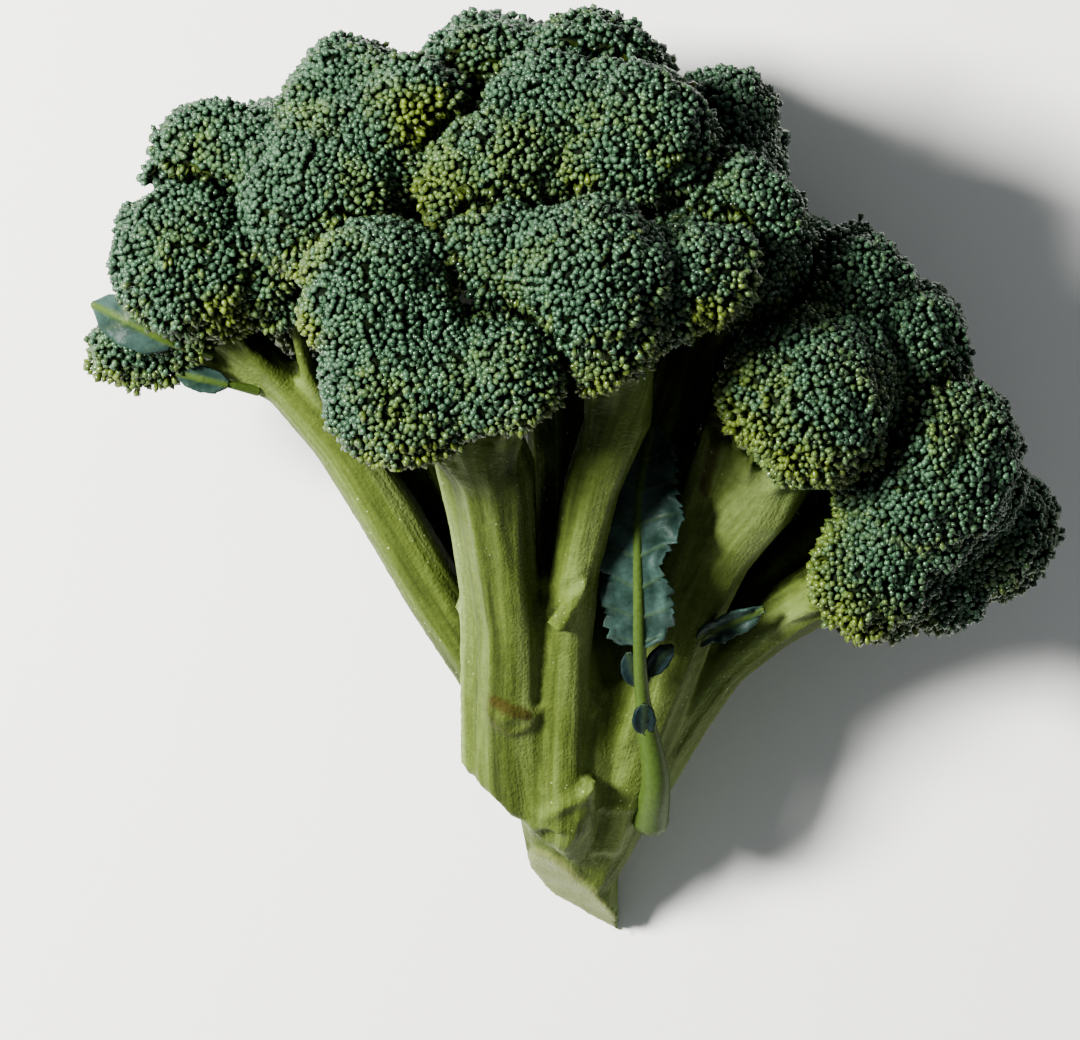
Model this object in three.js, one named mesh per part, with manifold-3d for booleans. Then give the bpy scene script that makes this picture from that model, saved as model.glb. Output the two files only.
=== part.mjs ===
// A large head of broccoli, cut at the stalk and lying on its side on a flat surface.
// Millimetres. +X is to the head's right, +Y runs from the cut stalk to the crown, +Z is up.
// The origin ends up under the middle of the head, on the surface that it lies on.

import * as THREE from "three";
import { ConvexGeometry } from "three/addons/geometries/ConvexGeometry.js";
import { mergeVertices } from "three/addons/utils/BufferGeometryUtils.js";
import Module from "manifold-3d";

const wasm = await Module();
wasm.setup();

// Driving dimensions
const CLEARANCE = 0.4; // gap where two pieces of the head meet
const BUD_HEIGHT = 2.1; // how far a bud cluster stands out of its floret
const BUD_VARIETY = 0.3; // how much taller or lower than that it may be, as a share
const BUD_SPACING = 6.6; // from one bud cluster to the next on the crown of a floret
const UNDER_SPACING = 13; // from one fold to the next on its underside
const CANDIDATES = 2000; // directions from which the bud clusters of a floret are picked
const LOBE_JOIN = 7; // how sharply the lobes of a floret are set off: low blends them, high parts them
const CORE_SHARE = 0.62; // radius of the mass that ties the lobes, as a share of their distance from it
const CORE_SHIFT = 0.22; // how far that mass sits towards the tip of the branch, as a share of the way
const UNDER_DEPTH = 0.84; // depth of a floret towards its branch, as a share of a full ball's
const OUTLINE_STEP = 0.25; // fineness of the search for a floret's surface
const BLADE_THICKNESS = 1; // of a leaf's blade at its edge
const RIB_THICKNESS = 2; // of a leaf's blade along its midrib
const BLADE_CUT = 0.45; // depth of the notches in a leaf's edge, as a share of its half-width
const BLADE_FULLNESS = 0.6; // 1 for a slender leaf, less for a broad one
const LEAST_HALF_WIDTH = 0.8; // of a leaf's blade, at its ends
const STEM_REACH = 0.4; // how deep the tip of a stem runs into its floret, as a share of the way
const TRUNK_SIDES = 14;
const STEM_SIDES = 10;
const LEAF_STEM_SIDES = 6;
const STUB_SIDES = 5;
const FLOOR_Z = 0;
const SEED = 20261;

const at = (x, y, z) => new THREE.Vector3(x, y, z);

// The slanting cut across the end of the trunk, and the one across the feet of the front stems
const TRUNK_CUT = { point: at(-3.6, -94.5, 12), normal: at(-0.47, -0.84, 0.27).normalize() };
const FRONT_CUT = { point: at(-18, -75, 48), normal: at(-0.7, -0.71, -0.1).normalize() };

// Stems, each a line of points from its root to its tip with the radius at each point
const TRUNK = [
  { path: [at(3, -112, 2), at(0, -92, 11), at(0, -70, 28), at(-1, -44, 46)], radii: [8.5, 10.5, 15.5, 14] },
  { path: [at(4, -94, 16), at(9, -80, 24), at(12, -62, 33), at(12, -46, 38)], radii: [4.5, 7.5, 12, 9] },
];

const BRANCHES = {
  front_left: {
    path: [at(-12, -85, 31), at(-14, -64, 45), at(-14, -38, 66), at(-17, -12, 88), at(-19, 4, 102)],
    radii: [8.5, 9, 7.6, 7.4, 9.5],
  },
  front_left_rib: {
    path: [at(-21, -78, 34), at(-21, -50, 50), at(-22, -24, 72), at(-27, 2, 96)],
    radii: [5, 5, 4.4, 4.6],
  },
  front_right: {
    path: [at(-4, -79, 38), at(-3, -50, 56), at(0, -22, 78), at(7, 6, 100), at(15, 22, 112)],
    radii: [7.5, 6.8, 5.8, 5.8, 7.5],
  },
  right_upper: {
    path: [at(6, -84, 24), at(12, -64, 38), at(21, -40, 47), at(32, -18, 60), at(43, -4, 76)],
    radii: [7, 9.5, 9, 8.6, 9.5],
  },
  right_upper_rib: {
    path: [at(6, -76, 32), at(13, -56, 44), at(19, -36, 51), at(27, -14, 62), at(35, 8, 78)],
    radii: [6, 7.5, 7, 6.6, 7],
  },
  right_lower: {
    path: [at(8, -80, 20), at(19, -62, 30), at(32, -44, 38), at(46, -33, 46), at(58, -26, 54)],
    radii: [7.5, 9, 7.6, 7, 7.6],
  },
  right_back: {
    path: [at(12, -60, 32), at(31, -39, 37), at(50, -21, 44), at(64, -11, 54), at(72, -6, 70)],
    radii: [9, 8.4, 8, 7.6, 7],
  },
  left: {
    path: [at(-8, -62, 34), at(-28, -34, 42), at(-50, 2, 54), at(-64, 18, 61), at(-78, 27, 68)],
    radii: [8, 7.2, 7.2, 7, 5],
  },
  upper_left: {
    path: [at(-4, -54, 44), at(-16, -14, 58), at(-30, 24, 72), at(-36, 40, 80)],
    radii: [9, 7, 6.6, 7],
  },
  top: {
    path: [at(-1, -54, 46), at(-3, -8, 62), at(-4, 34, 78), at(-4, 52, 86)],
    radii: [11, 8, 7.4, 7.6],
  },
  upper_right: {
    path: [at(3, -54, 42), at(15, -12, 57), at(25, 24, 72), at(28, 40, 78)],
    radii: [9, 8, 7, 7],
  },
  back_left: {
    path: [at(-6, -58, 32), at(-24, -34, 32), at(-36, -4, 34), at(-48, 24, 34)],
    radii: [9, 8.6, 8.4, 7],
  },
  back: {
    path: [at(0, -54, 34), at(0, -26, 33), at(-1, 6, 33), at(-2, 34, 34)],
    radii: [9, 7.6, 7, 7],
  },
  back_right: {
    path: [at(6, -56, 32), at(20, -28, 33), at(31, -4, 34), at(38, 16, 34)],
    radii: [9, 7.6, 7, 7],
  },
};

// Scales and stubs of leaves that dropped off the stalk, each a cone from its foot to its tip
const STUBS = [
  { path: [at(-5, -86, 27), at(-1, -79, 39), at(4.4, -70.5, 50)], radii: [8, 6.4, 0.8] },
  { path: [at(-4, -36, 76), at(2.6, -26, 83)], radii: [4, 1] },
  { path: [at(-21, -38, 62), at(-27, -31, 66)], radii: [2.6, 0.7] },
  { path: [at(-20, -52.5, 58), at(-14, -56.5, 62), at(-8, -55.5, 60)], radii: [1.2, 2.4, 1.2] },
];

// Florets, one on the tip of each branch. A lobe is one round mass of buds: its middle and its radius.
const lobe = (x, y, z, radius) => ({ middle: at(x, y, z), radius });

const FLORETS = {
  front_left: {
    branch: "front_left",
    lobes: [lobe(-43, 36, 124, 18), lobe(-38, 15, 124, 17), lobe(-15, 17, 128, 14.5)],
  },
  front_right: {
    branch: "front_right",
    lobes: [lobe(3, 40, 132, 18), lobe(-17, 44, 124, 13), lobe(7, 24, 126, 12), lobe(27, 39, 120, 15)],
  },
  middle: {
    branch: "top",
    lobes: [lobe(-19, 60, 108, 16), lobe(-7, 76, 102, 14), lobe(14, 72, 106, 17)],
  },
  left: {
    branch: "left",
    lobes: [lobe(-86, 45, 84, 17.5), lobe(-95.5, 25, 62, 13.5), lobe(-68, 43, 78, 15)],
  },
  upper_left: {
    branch: "upper_left",
    lobes: [lobe(-79, 65, 76, 16.5), lobe(-54, 55, 98, 19.5), lobe(-50, 80, 82, 15), lobe(-36, 78, 98, 13)],
  },
  top: {
    branch: "top",
    lobes: [lobe(-20, 86, 82, 14), lobe(3, 84, 84, 17)],
  },
  upper_right: {
    branch: "upper_right",
    lobes: [lobe(32, 73, 82, 15.5), lobe(35, 50, 100, 18), lobe(38, 36, 84, 14)],
  },
  right: {
    branch: "right_upper",
    lobes: [lobe(50, 12, 100, 21), lobe(60, 38, 86, 15), lobe(71, 25, 80, 17.5)],
  },
  right_low: {
    branch: "right_lower",
    lobes: [lobe(78, -0.5, 84, 21.5), lobe(94, -15, 64, 15), lobe(64, -26, 76, 16), lobe(79, -27, 62, 13)],
  },
  back_left: {
    branch: "back_left",
    lobes: [
      ...[lobe(-66, 62, 42, 19), lobe(-82, 42, 42, 15), lobe(-56, 46, 17, 18)],
      ...[lobe(-38, 70, 19.5, 19), lobe(-46, 14, 36, 17)],
    ],
  },
  back_top: {
    branch: "back",
    lobes: [
      ...[lobe(-18, 84, 52, 17), lobe(-6, 72, 20, 18), lobe(6, 81, 44, 18)],
      ...[lobe(-2, 42, 34, 18), lobe(-4, 12, 34, 16.5)],
    ],
  },
  back_right: {
    branch: "back_right",
    lobes: [
      ...[lobe(30, 66, 46, 18), lobe(24, 64, 17.5, 18), lobe(48, 38, 17.5, 18)],
      ...[lobe(70, 22, 40, 18), lobe(38, 12, 38, 17), lobe(56, -8, 34, 16)],
    ],
  },
};

// Leaves. The blade begins at a share of the length of the midrib, and its edge has a number of lobes.
const LEAVES = {
  front: {
    midrib: [
      ...[at(17, -80, 32), at(18, -70, 46), at(15, -52, 60)],
      ...[at(14, -30, 76), at(14, -8, 82), at(17, 8, 80)],
    ],
    stem: [4.2, 3, 1.7, 1.4],
    face: at(-0.1, 0, 1),
    blade: {
      from: 0.52, halfWidth: 12, lobes: 5, fold: 0.1, ripple: 1.4, rows: 18, columns: 4, stemSteps: 6,
    },
  },
  leaflet_left: {
    midrib: [at(15, -52, 60), at(13, -46, 64), at(12, -41.5, 66)],
    stem: [0.8, 0.8],
    face: at(-0.2, -0.3, 1),
    blade: { from: 0.3, halfWidth: 2.6, lobes: 0, fold: 0.3, ripple: 0.2, rows: 4, columns: 2, stemSteps: 2 },
    joins: "front",
  },
  leaflet_right: {
    midrib: [at(15, -50, 61), at(18, -44, 64), at(21.5, -40, 66)],
    stem: [0.8, 0.8],
    face: at(0.2, -0.3, 1),
    blade: { from: 0.3, halfWidth: 2.6, lobes: 0, fold: 0.3, ripple: 0.2, rows: 4, columns: 2, stemSteps: 2 },
    joins: "front",
  },
  leaflet_low: {
    midrib: [at(16, -62, 53), at(15.4, -58, 57.5), at(15.6, -53, 61.5)],
    stem: [0.8, 0.8],
    face: at(0, -0.5, 1),
    blade: { from: 0.3, halfWidth: 2.6, lobes: 0, fold: 0.3, ripple: 0.2, rows: 4, columns: 2, stemSteps: 2 },
    joins: "front",
  },
  right: {
    midrib: [at(24, -44, 48), at(29, -38, 55), at(35, -35, 58), at(42, -32, 60)],
    stem: [1.6, 1.1],
    face: at(0.2, -0.5, 1),
    blade: {
      from: 0.3, halfWidth: 3.4, lobes: 2, fold: 0.5, ripple: 0.6, rows: 8, columns: 4, stemSteps: 2,
    },
  },
  left: {
    midrib: [at(-80, 24, 72), at(-90, 27, 79), at(-98, 31, 80), at(-106, 35, 75)],
    stem: [1.4, 1.1],
    face: at(-0.3, -0.1, 1),
    blade: {
      from: 0.34, halfWidth: 5.6, lobes: 0, fold: 0.1, ripple: 0.3, rows: 8, columns: 4, stemSteps: 2,
    },
  },
  left_small: {
    midrib: [at(-70, 16, 64), at(-79, 18, 69), at(-88, 20, 70)],
    stem: [1.2, 0.9],
    face: at(-0.2, -0.3, 1),
    blade: { from: 0.4, halfWidth: 3.2, lobes: 0, fold: 0.2, ripple: 0.2, rows: 6, columns: 2, stemSteps: 2 },
  },
};

// Seeded random numbers from 0 to 1
function randomFrom(seed) {
  let state = seed >>> 0;
  return () => {
    state = (state + 0x6d2b79f5) >>> 0;
    let mixed = Math.imul(state ^ (state >>> 15), 1 | state);
    mixed = (mixed + Math.imul(mixed ^ (mixed >>> 7), 61 | mixed)) ^ mixed;
    return ((mixed ^ (mixed >>> 14)) >>> 0) / 4294967296;
  };
}

function shuffled(list, random) {
  const keyed = list.map((value) => ({ value, key: random() }));
  return keyed.sort((one, other) => one.key - other.key).map(({ value }) => value);
}

// A geometry with only positions, its shared vertices merged
function welded(geometry) {
  geometry.deleteAttribute("normal");
  geometry.deleteAttribute("uv");
  return mergeVertices(geometry, 1e-4);
}

function solidFrom(geometry) {
  return new wasm.Manifold(
    new wasm.Mesh({
      numProp: 3,
      vertProperties: new Float32Array(geometry.attributes.position.array),
      triVerts: new Uint32Array(geometry.index.array),
    }),
  );
}

const unionOf = (solids) => solids.reduce((joined, next) => joined.add(next));

// The largest body of a solid: loose scraps that a cut leaves are dropped
function mainBody(solid) {
  return solid.decompose().reduce((largest, body) => (body.volume() > largest.volume() ? body : largest));
}

// A round stick along a smooth line, with a radius at each point of the line. Something extra all
// round makes it the room that the neighbours keep out of.
function stick(path, radii, sides, steps, extra = 0) {
  const curve = new THREE.CatmullRomCurve3(path);
  const frames = curve.computeFrenetFrames(steps, false);
  const geometry = welded(new THREE.CylinderGeometry(1, 1, 1, sides, steps));
  const position = geometry.attributes.position;
  for (let i = 0; i < position.count; i += 1) {
    const station = Math.round((0.5 - position.getY(i)) * steps);
    const share = station / steps;
    const span = share * (radii.length - 1);
    const before = Math.min(Math.floor(span), radii.length - 2);
    const radius = THREE.MathUtils.lerp(radii[before], radii[before + 1], span - before) + extra;
    const point = curve
      .getPointAt(share)
      .addScaledVector(frames.normals[station], position.getX(i) * radius)
      .addScaledVector(frames.binormals[station], position.getZ(i) * radius)
      .addScaledVector(frames.tangents[station], extra * (Number(station === steps) - Number(station === 0)));
    position.setXYZ(i, point.x, point.y, point.z);
  }
  return solidOutward(geometry);
}

// The solid inside a closed surface, whichever way its triangles face
function solidOutward(geometry) {
  const solid = solidFrom(geometry);
  if (solid.volume() > 0) return solid;
  const index = geometry.index.array;
  for (let i = 0; i < index.length; i += 3) [index[i + 1], index[i + 2]] = [index[i + 2], index[i + 1]];
  return solidFrom(geometry);
}

// A blade with a thickness at each point of a sheet, split into the same triangles on both faces
function thickened(sheet, thicknesses) {
  sheet.computeVertexNormals();
  const { position, normal } = sheet.attributes;
  const count = position.count;
  const face = (side) =>
    thicknesses.map((thickness, i) =>
      at(0, 0, 0)
        .fromBufferAttribute(normal, i)
        .multiplyScalar(side * thickness)
        .add(at(0, 0, 0).fromBufferAttribute(position, i)),
    );
  const triangles = [];
  const edges = new Set();
  for (let i = 0; i < sheet.index.count; i += 3) {
    const [a, b, c] = [0, 1, 2].map((k) => sheet.index.getX(i + k));
    triangles.push(a, b, c, count + a, count + c, count + b);
    edges.add(a + "," + b).add(b + "," + c).add(c + "," + a);
  }
  for (const edge of edges) {
    const [from, to] = edge.split(",").map(Number);
    if (!edges.has(to + "," + from)) triangles.push(to, from, count + from, to, count + from, count + to);
  }
  return solidOf([...face(0.5), ...face(-0.5)], triangles);
}

// A leaf: a round stem, and a folded, rippled blade with a lobed edge that is thickest along its midrib
function leafSolid({ midrib, stem, face, blade }) {
  const curve = new THREE.CatmullRomCurve3(midrib);
  const sheet = welded(new THREE.PlaneGeometry(2, 1, blade.columns, blade.rows));
  const position = sheet.attributes.position;
  const thicknesses = [];
  for (let i = 0; i < position.count; i += 1) {
    const across = position.getX(i);
    const along = position.getY(i) + 0.5;
    const share = THREE.MathUtils.lerp(blade.from, 1, along);
    const tangent = curve.getTangentAt(share);
    const sideways = at(0, 0, 0).crossVectors(tangent, face).normalize();
    const upward = at(0, 0, 0).crossVectors(sideways, tangent);
    const outline = Math.sin(Math.PI * THREE.MathUtils.lerp(0.06, 0.96, along)) ** BLADE_FULLNESS;
    const notch = Math.abs(across) * Math.abs(Math.sin(Math.PI * blade.lobes * along));
    const halfWidth = Math.max(LEAST_HALF_WIDTH, blade.halfWidth * outline * (1 - BLADE_CUT * notch));
    const wave = Math.sin(2 * Math.PI * (blade.lobes + 1) * along + across) * across ** 2;
    const point = curve
      .getPointAt(share)
      .addScaledVector(sideways, across * halfWidth)
      .addScaledVector(upward, Math.abs(across) * halfWidth * blade.fold + wave * blade.ripple);
    position.setXYZ(i, point.x, point.y, point.z);
    thicknesses.push(across === 0 ? RIB_THICKNESS : BLADE_THICKNESS);
  }
  const stemEnd = blade.from + 0.04;
  const stemPath = [0, 0.33, 0.66, 1].map((share) => curve.getPointAt(share * stemEnd));
  return thickened(sheet, thicknesses).add(stick(stemPath, stem, LEAF_STEM_SIDES, blade.stemSteps));
}

// Directions spread over a ball by the golden angle, as buds grow
function spiralDirections(count) {
  const goldenAngle = Math.PI * (3 - Math.sqrt(5));
  return Array.from({ length: count }, (_, i) => {
    const z = 1 - (2 * i + 1) / count;
    const wide = Math.sqrt(1 - z * z);
    return at(wide * Math.cos(i * goldenAngle), wide * Math.sin(i * goldenAngle), z);
  });
}

const tipOf = (name) => BRANCHES[name].path.at(-1);

function middleOf(lobes) {
  return lobes.reduce((sum, one) => sum.add(one.middle), at(0, 0, 0)).divideScalar(lobes.length);
}

// The rounded outline of a floret: how far it reaches from its middle in a direction
function outlineOf({ branch, lobes }) {
  const middle = middleOf(lobes);
  const outward = middle.clone().sub(tipOf(branch)).normalize();
  middle.lerp(tipOf(branch), CORE_SHIFT);
  const reach = Math.max(...lobes.map((one) => one.middle.distanceTo(middle)));
  const balls = [...lobes, { middle, radius: reach * CORE_SHARE }];
  const fill = (point) =>
    balls.reduce((sum, ball) => sum + (ball.radius / point.distanceTo(ball.middle)) ** LOBE_JOIN, 0);
  const farthest = reach + 2 * Math.max(...lobes.map((one) => one.radius));
  const reachIn = (direction) => {
    let distance = farthest;
    while (fill(middle.clone().addScaledVector(direction, distance)) < 1) distance -= OUTLINE_STEP;
    const under = THREE.MathUtils.smoothstep(-direction.dot(outward), 0.1, 0.9);
    return distance * THREE.MathUtils.lerp(1, UNDER_DEPTH, under);
  };
  return { middle, outward, reachIn };
}

// The bud clusters of a floret, evenly apart, as peaks with the triangles that join them
function clustersOf(floret, random) {
  const outline = outlineOf(floret);
  const peaks = [];
  for (const direction of shuffled(spiralDirections(CANDIDATES), random)) {
    const place = direction.clone().multiplyScalar(outline.reachIn(direction));
    const crown = THREE.MathUtils.smoothstep(direction.dot(outline.outward), -0.5, 0);
    const spacing = THREE.MathUtils.lerp(UNDER_SPACING, BUD_SPACING, crown);
    if (peaks.some((peak) => peak.place.distanceTo(place) < spacing)) continue;
    const variety = THREE.MathUtils.lerp(1 - BUD_VARIETY, 1 + BUD_VARIETY, random());
    peaks.push({ direction, place, height: BUD_HEIGHT * crown * variety });
  }
  const hull = welded(new ConvexGeometry(peaks.map((peak) => peak.direction)));
  const directions = Array.from({ length: hull.attributes.position.count }, (_, i) =>
    at(0, 0, 0).fromBufferAttribute(hull.attributes.position, i),
  );
  const nearest = (direction) =>
    peaks.reduce((best, peak) =>
      peak.direction.distanceTo(direction) < best.direction.distanceTo(direction) ? peak : best,
    );
  return { outline, peaks: directions.map(nearest), faces: Array.from(hull.index.array) };
}

// A floret: each cluster is a six-sided peak, and between each three peaks is a low point.
// With something extra all round, it is the room that the neighbours keep out of.
function floretSolid({ outline, peaks, faces }, extra = 0) {
  const pointAt = (direction, height) =>
    direction
      .clone()
      .multiplyScalar(outline.reachIn(direction) + height + extra)
      .add(outline.middle);
  const points = peaks.map(({ direction, height }) => pointAt(direction, height));
  const faceOfEdge = new Map();
  for (let face = 0; face < faces.length / 3; face += 1) {
    const corners = faces.slice(3 * face, 3 * face + 3);
    corners.forEach((corner, k) => faceOfEdge.set(corner + "," + corners[(k + 1) % 3], face));
    const low = corners.reduce((sum, corner) => sum.add(peaks[corner].direction), at(0, 0, 0)).normalize();
    points.push(pointAt(low, 0));
  }
  const triangles = [];
  for (const [edge, face] of faceOfEdge) {
    const [from, to] = edge.split(",").map(Number);
    triangles.push(from, peaks.length + faceOfEdge.get(to + "," + from), peaks.length + face);
  }
  return solidOf(points, triangles);
}

function solidOf(points, triangles) {
  const geometry = new THREE.BufferGeometry().setFromPoints(points);
  geometry.setIndex(triangles);
  return solidOutward(geometry);
}

// A branch, whose tip runs on into the floret that it carries
function branchSolid(name, extra) {
  const { path, radii } = BRANCHES[name];
  const carried = Object.values(FLORETS).find((floret) => floret.branch === name);
  if (!carried) return stick(path, radii, STEM_SIDES, 5, extra);
  const inside = path.at(-1).clone().lerp(middleOf(carried.lobes), STEM_REACH);
  return stick([...path, inside], [...radii, radii.at(-1)], STEM_SIDES, 6, extra);
}

function stalkSolid(extra = 0) {
  const trunk = TRUNK.map(({ path, radii }) => stick(path, radii, TRUNK_SIDES, 6, extra));
  const branches = Object.keys(BRANCHES).map((name) => branchSolid(name, extra));
  const stubs = STUBS.map(({ path, radii }) => stick(path, radii, STUB_SIDES, 2, extra));
  const stems = unionOf([...branches, ...stubs]).subtract(beyondCut(FRONT_CUT, extra));
  return unionOf([...trunk, stems]).subtract(beyondCut(TRUNK_CUT, extra));
}

// All that lies beyond a slanting cut
function beyondCut({ point, normal }, extra) {
  const size = 120;
  const block = new THREE.BoxGeometry(size, size, size);
  block.translate(0, 0, size / 2 + extra);
  const turn = new THREE.Quaternion().setFromUnitVectors(at(0, 0, 1), normal);
  block.applyQuaternion(turn).translate(point.x, point.y, point.z);
  return solidFrom(welded(block));
}

// All that lies below the surface, so that what rests on it has a small flat spot
function belowFloor() {
  const block = new THREE.BoxGeometry(600, 600, 100);
  block.translate(0, 0, FLOOR_Z - 50);
  return solidFrom(welded(block));
}

function meshOf(name, solid, material) {
  const { vertProperties, triVerts } = solid.getMesh();
  const geometry = new THREE.BufferGeometry();
  geometry.setAttribute("position", new THREE.BufferAttribute(vertProperties, 3));
  geometry.setIndex(new THREE.BufferAttribute(triVerts, 1));
  const mesh = new THREE.Mesh(geometry, material);
  mesh.name = name;
  return mesh;
}

const STALK_SKIN = new THREE.MeshStandardMaterial({ color: 0x8fa548, roughness: 0.5, metalness: 0 });
const BUDS = new THREE.MeshStandardMaterial({ color: 0x3f5f4a, roughness: 0.7, metalness: 0 });
const LEAF_GREEN = new THREE.MeshStandardMaterial({ color: 0x3a5c46, roughness: 0.5, metalness: 0 });

const floor = belowFloor();
const head = new THREE.Group();

const stalk = mainBody(stalkSolid().subtract(floor));
head.add(meshOf("stalk", stalk, STALK_SKIN));

let taken = stalkSolid(CLEARANCE);
Object.entries(FLORETS).forEach(([name, floret], order) => {
  const clusters = clustersOf(floret, randomFrom(SEED + order));
  const solid = mainBody(floretSolid(clusters).subtract(taken).subtract(floor));
  taken = taken.add(floretSolid(clusters, 2 * CLEARANCE));
  head.add(meshOf("floret_" + name, solid, BUDS));
});

const leafNames = Object.keys(LEAVES).filter((name) => !LEAVES[name].joins);
leafNames.forEach((name) => {
  const joined = Object.values(LEAVES).filter((leaf) => leaf === LEAVES[name] || leaf.joins === name);
  const solid = mainBody(unionOf(joined.map(leafSolid)).subtract(taken).subtract(floor));
  head.add(meshOf("leaf_" + name, solid, LEAF_GREEN));
});

// The origin goes under the middle of the head
const bounds = new THREE.Box3().setFromObject(head);
const middle = bounds.getCenter(new THREE.Vector3());
head.position.set(-middle.x, -middle.y, -bounds.min.z);

export default head;
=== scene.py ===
"""A head of broccoli, cut at the stalk and lying on its side, dressed and lit for a render."""

import logging
import math
from dataclasses import dataclass, field
from enum import Enum

import bmesh
import bpy
import numpy as np
from mathutils import Matrix, Vector, noise
from mathutils.bvhtree import BVHTree
from mathutils.kdtree import KDTree

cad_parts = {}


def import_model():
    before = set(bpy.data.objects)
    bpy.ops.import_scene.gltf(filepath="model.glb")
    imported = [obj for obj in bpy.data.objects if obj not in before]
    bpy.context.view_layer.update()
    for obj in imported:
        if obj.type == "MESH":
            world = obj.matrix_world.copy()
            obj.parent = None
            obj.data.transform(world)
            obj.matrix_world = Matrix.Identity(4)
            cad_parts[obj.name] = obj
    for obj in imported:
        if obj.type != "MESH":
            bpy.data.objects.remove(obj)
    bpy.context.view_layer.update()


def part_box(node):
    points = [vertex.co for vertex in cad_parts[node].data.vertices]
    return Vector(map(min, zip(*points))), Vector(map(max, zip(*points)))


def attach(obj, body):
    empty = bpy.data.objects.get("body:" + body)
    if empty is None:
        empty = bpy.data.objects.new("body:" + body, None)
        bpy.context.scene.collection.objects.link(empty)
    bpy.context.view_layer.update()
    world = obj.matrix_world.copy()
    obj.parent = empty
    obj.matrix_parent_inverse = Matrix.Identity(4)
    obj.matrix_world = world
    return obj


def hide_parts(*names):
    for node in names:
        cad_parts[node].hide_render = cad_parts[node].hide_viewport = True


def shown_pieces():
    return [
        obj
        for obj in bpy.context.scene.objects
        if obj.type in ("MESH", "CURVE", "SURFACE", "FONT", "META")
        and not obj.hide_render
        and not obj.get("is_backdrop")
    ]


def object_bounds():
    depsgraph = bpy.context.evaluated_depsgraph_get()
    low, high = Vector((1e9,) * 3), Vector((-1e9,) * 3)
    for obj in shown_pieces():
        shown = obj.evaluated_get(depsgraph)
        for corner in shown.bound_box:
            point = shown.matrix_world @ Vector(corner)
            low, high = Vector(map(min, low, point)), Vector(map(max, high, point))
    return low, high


MM = 0.001
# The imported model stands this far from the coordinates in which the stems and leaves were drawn
DRAWN_AT = Vector((-1.031, 1.602, 0.0))
BODY = "root"
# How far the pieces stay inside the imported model's box, in metres
MARGIN = 2e-6
SEED = 20261
# Buds of the back florets are this much larger and farther apart than the others
BACK_COARSENESS = 1.5
# Random places that are tried for each bud that finds room
TRIES_A_BUD = 7.0

log = logging.getLogger("broccoli")


def drawn(x: float, y: float, z: float) -> Vector:
    """The place in metres of a point drawn in millimetres."""
    return (Vector((x, y, z)) + DRAWN_AT) * MM


def smoothstep(value: np.ndarray, low: float, high: float) -> np.ndarray:
    """0 below low, 1 above high and a smooth rise between."""
    share = np.clip((np.asarray(value, float) - low) / (high - low), 0.0, 1.0)
    return share * share * (3.0 - 2.0 * share)


def clouds(points: np.ndarray, size: float, seed: float) -> np.ndarray:
    """Smooth random values from about -1 to 1 at points in space.

    Args:
        points: One row of x, y, z in metres for each point.
        size: Width of a cloud, in metres.
        seed: Picks one pattern of clouds.

    Returns:
        One value for each point.
    """
    shift = Vector((seed, 0.7 * seed, -1.3 * seed))
    return np.array([noise.noise(Vector(p) / size + shift) for p in points])


def folds(points: np.ndarray, size: float, seed: float, width: float) -> np.ndarray:
    """Narrow folds between round cells in space, from 0 on the cells to 1 in the folds.

    Args:
        points: One row of x, y, z in metres for each point.
        size: Width of a cell, in metres.
        seed: Picks one pattern of cells.
        width: Width of the folds, as a share of a cell.

    Returns:
        One value for each point.
    """
    shift = Vector((1.1 * seed, -0.6 * seed, 0.9 * seed))
    gaps = [noise.voronoi(Vector(p) / size + shift)[0] for p in points]
    return 1 - smoothstep(np.array([gap[1] - gap[0] for gap in gaps]), 0.0, width)


class Line:
    """A smooth line through some points, measured along its length."""

    def __init__(self, points: list[Vector], steps: int = 24) -> None:
        """Samples the line.

        Args:
            points: The points that the line runs through.
            steps: Samples between one point and the next.
        """
        ends = [2 * points[0] - points[1], *points, 2 * points[-1] - points[-2]]
        samples = [points[0]]
        for before, start, end, after in zip(ends, ends[1:], ends[2:], ends[3:]):
            gaps = [math.sqrt((b - a).length) for a, b in ((before, start), (start, end), (end, after))]
            leave = (start - before) / gaps[0] - (end - before) / (gaps[0] + gaps[1]) + (end - start) / gaps[1]
            arrive = (end - start) / gaps[1] - (after - start) / (gaps[1] + gaps[2]) + (after - end) / gaps[2]
            leave, arrive = leave * gaps[1], arrive * gaps[1]
            for step in range(1, steps + 1):
                t = step / steps
                square = (3 * (end - start) - 2 * leave - arrive) * t * t
                cube = (2 * (start - end) + leave + arrive) * t * t * t
                samples.append(start + leave * t + square + cube)
        self.samples = np.array(samples)
        steps_taken = np.linalg.norm(np.diff(self.samples, axis=0), axis=1)
        self.lengths = np.concatenate([[0.0], np.cumsum(steps_taken)])
        self.length = float(self.lengths[-1])

    def at(self, share: float) -> Vector:
        """The point at a share of the line's length."""
        reach = share * self.length
        return Vector([float(np.interp(reach, self.lengths, self.samples[:, axis])) for axis in range(3)])

    def tangent(self, share: float) -> Vector:
        """The direction of the line at a share of its length."""
        return (self.at(min(share + 0.01, 1.0)) - self.at(max(share - 0.01, 0.0))).normalized()


def new_piece(name: str, shape: bmesh.types.BMesh) -> bpy.types.Object:
    """Makes an object of a finished bmesh and links it to the scene.

    Args:
        name: Name of the piece.
        shape: Its shape, in metres, in place.

    Returns:
        The new object.
    """
    mesh = bpy.data.meshes.new(name)
    shape.to_mesh(mesh)
    shape.free()
    piece = bpy.data.objects.new(name, mesh)
    bpy.context.scene.collection.objects.link(piece)
    return piece


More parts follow.
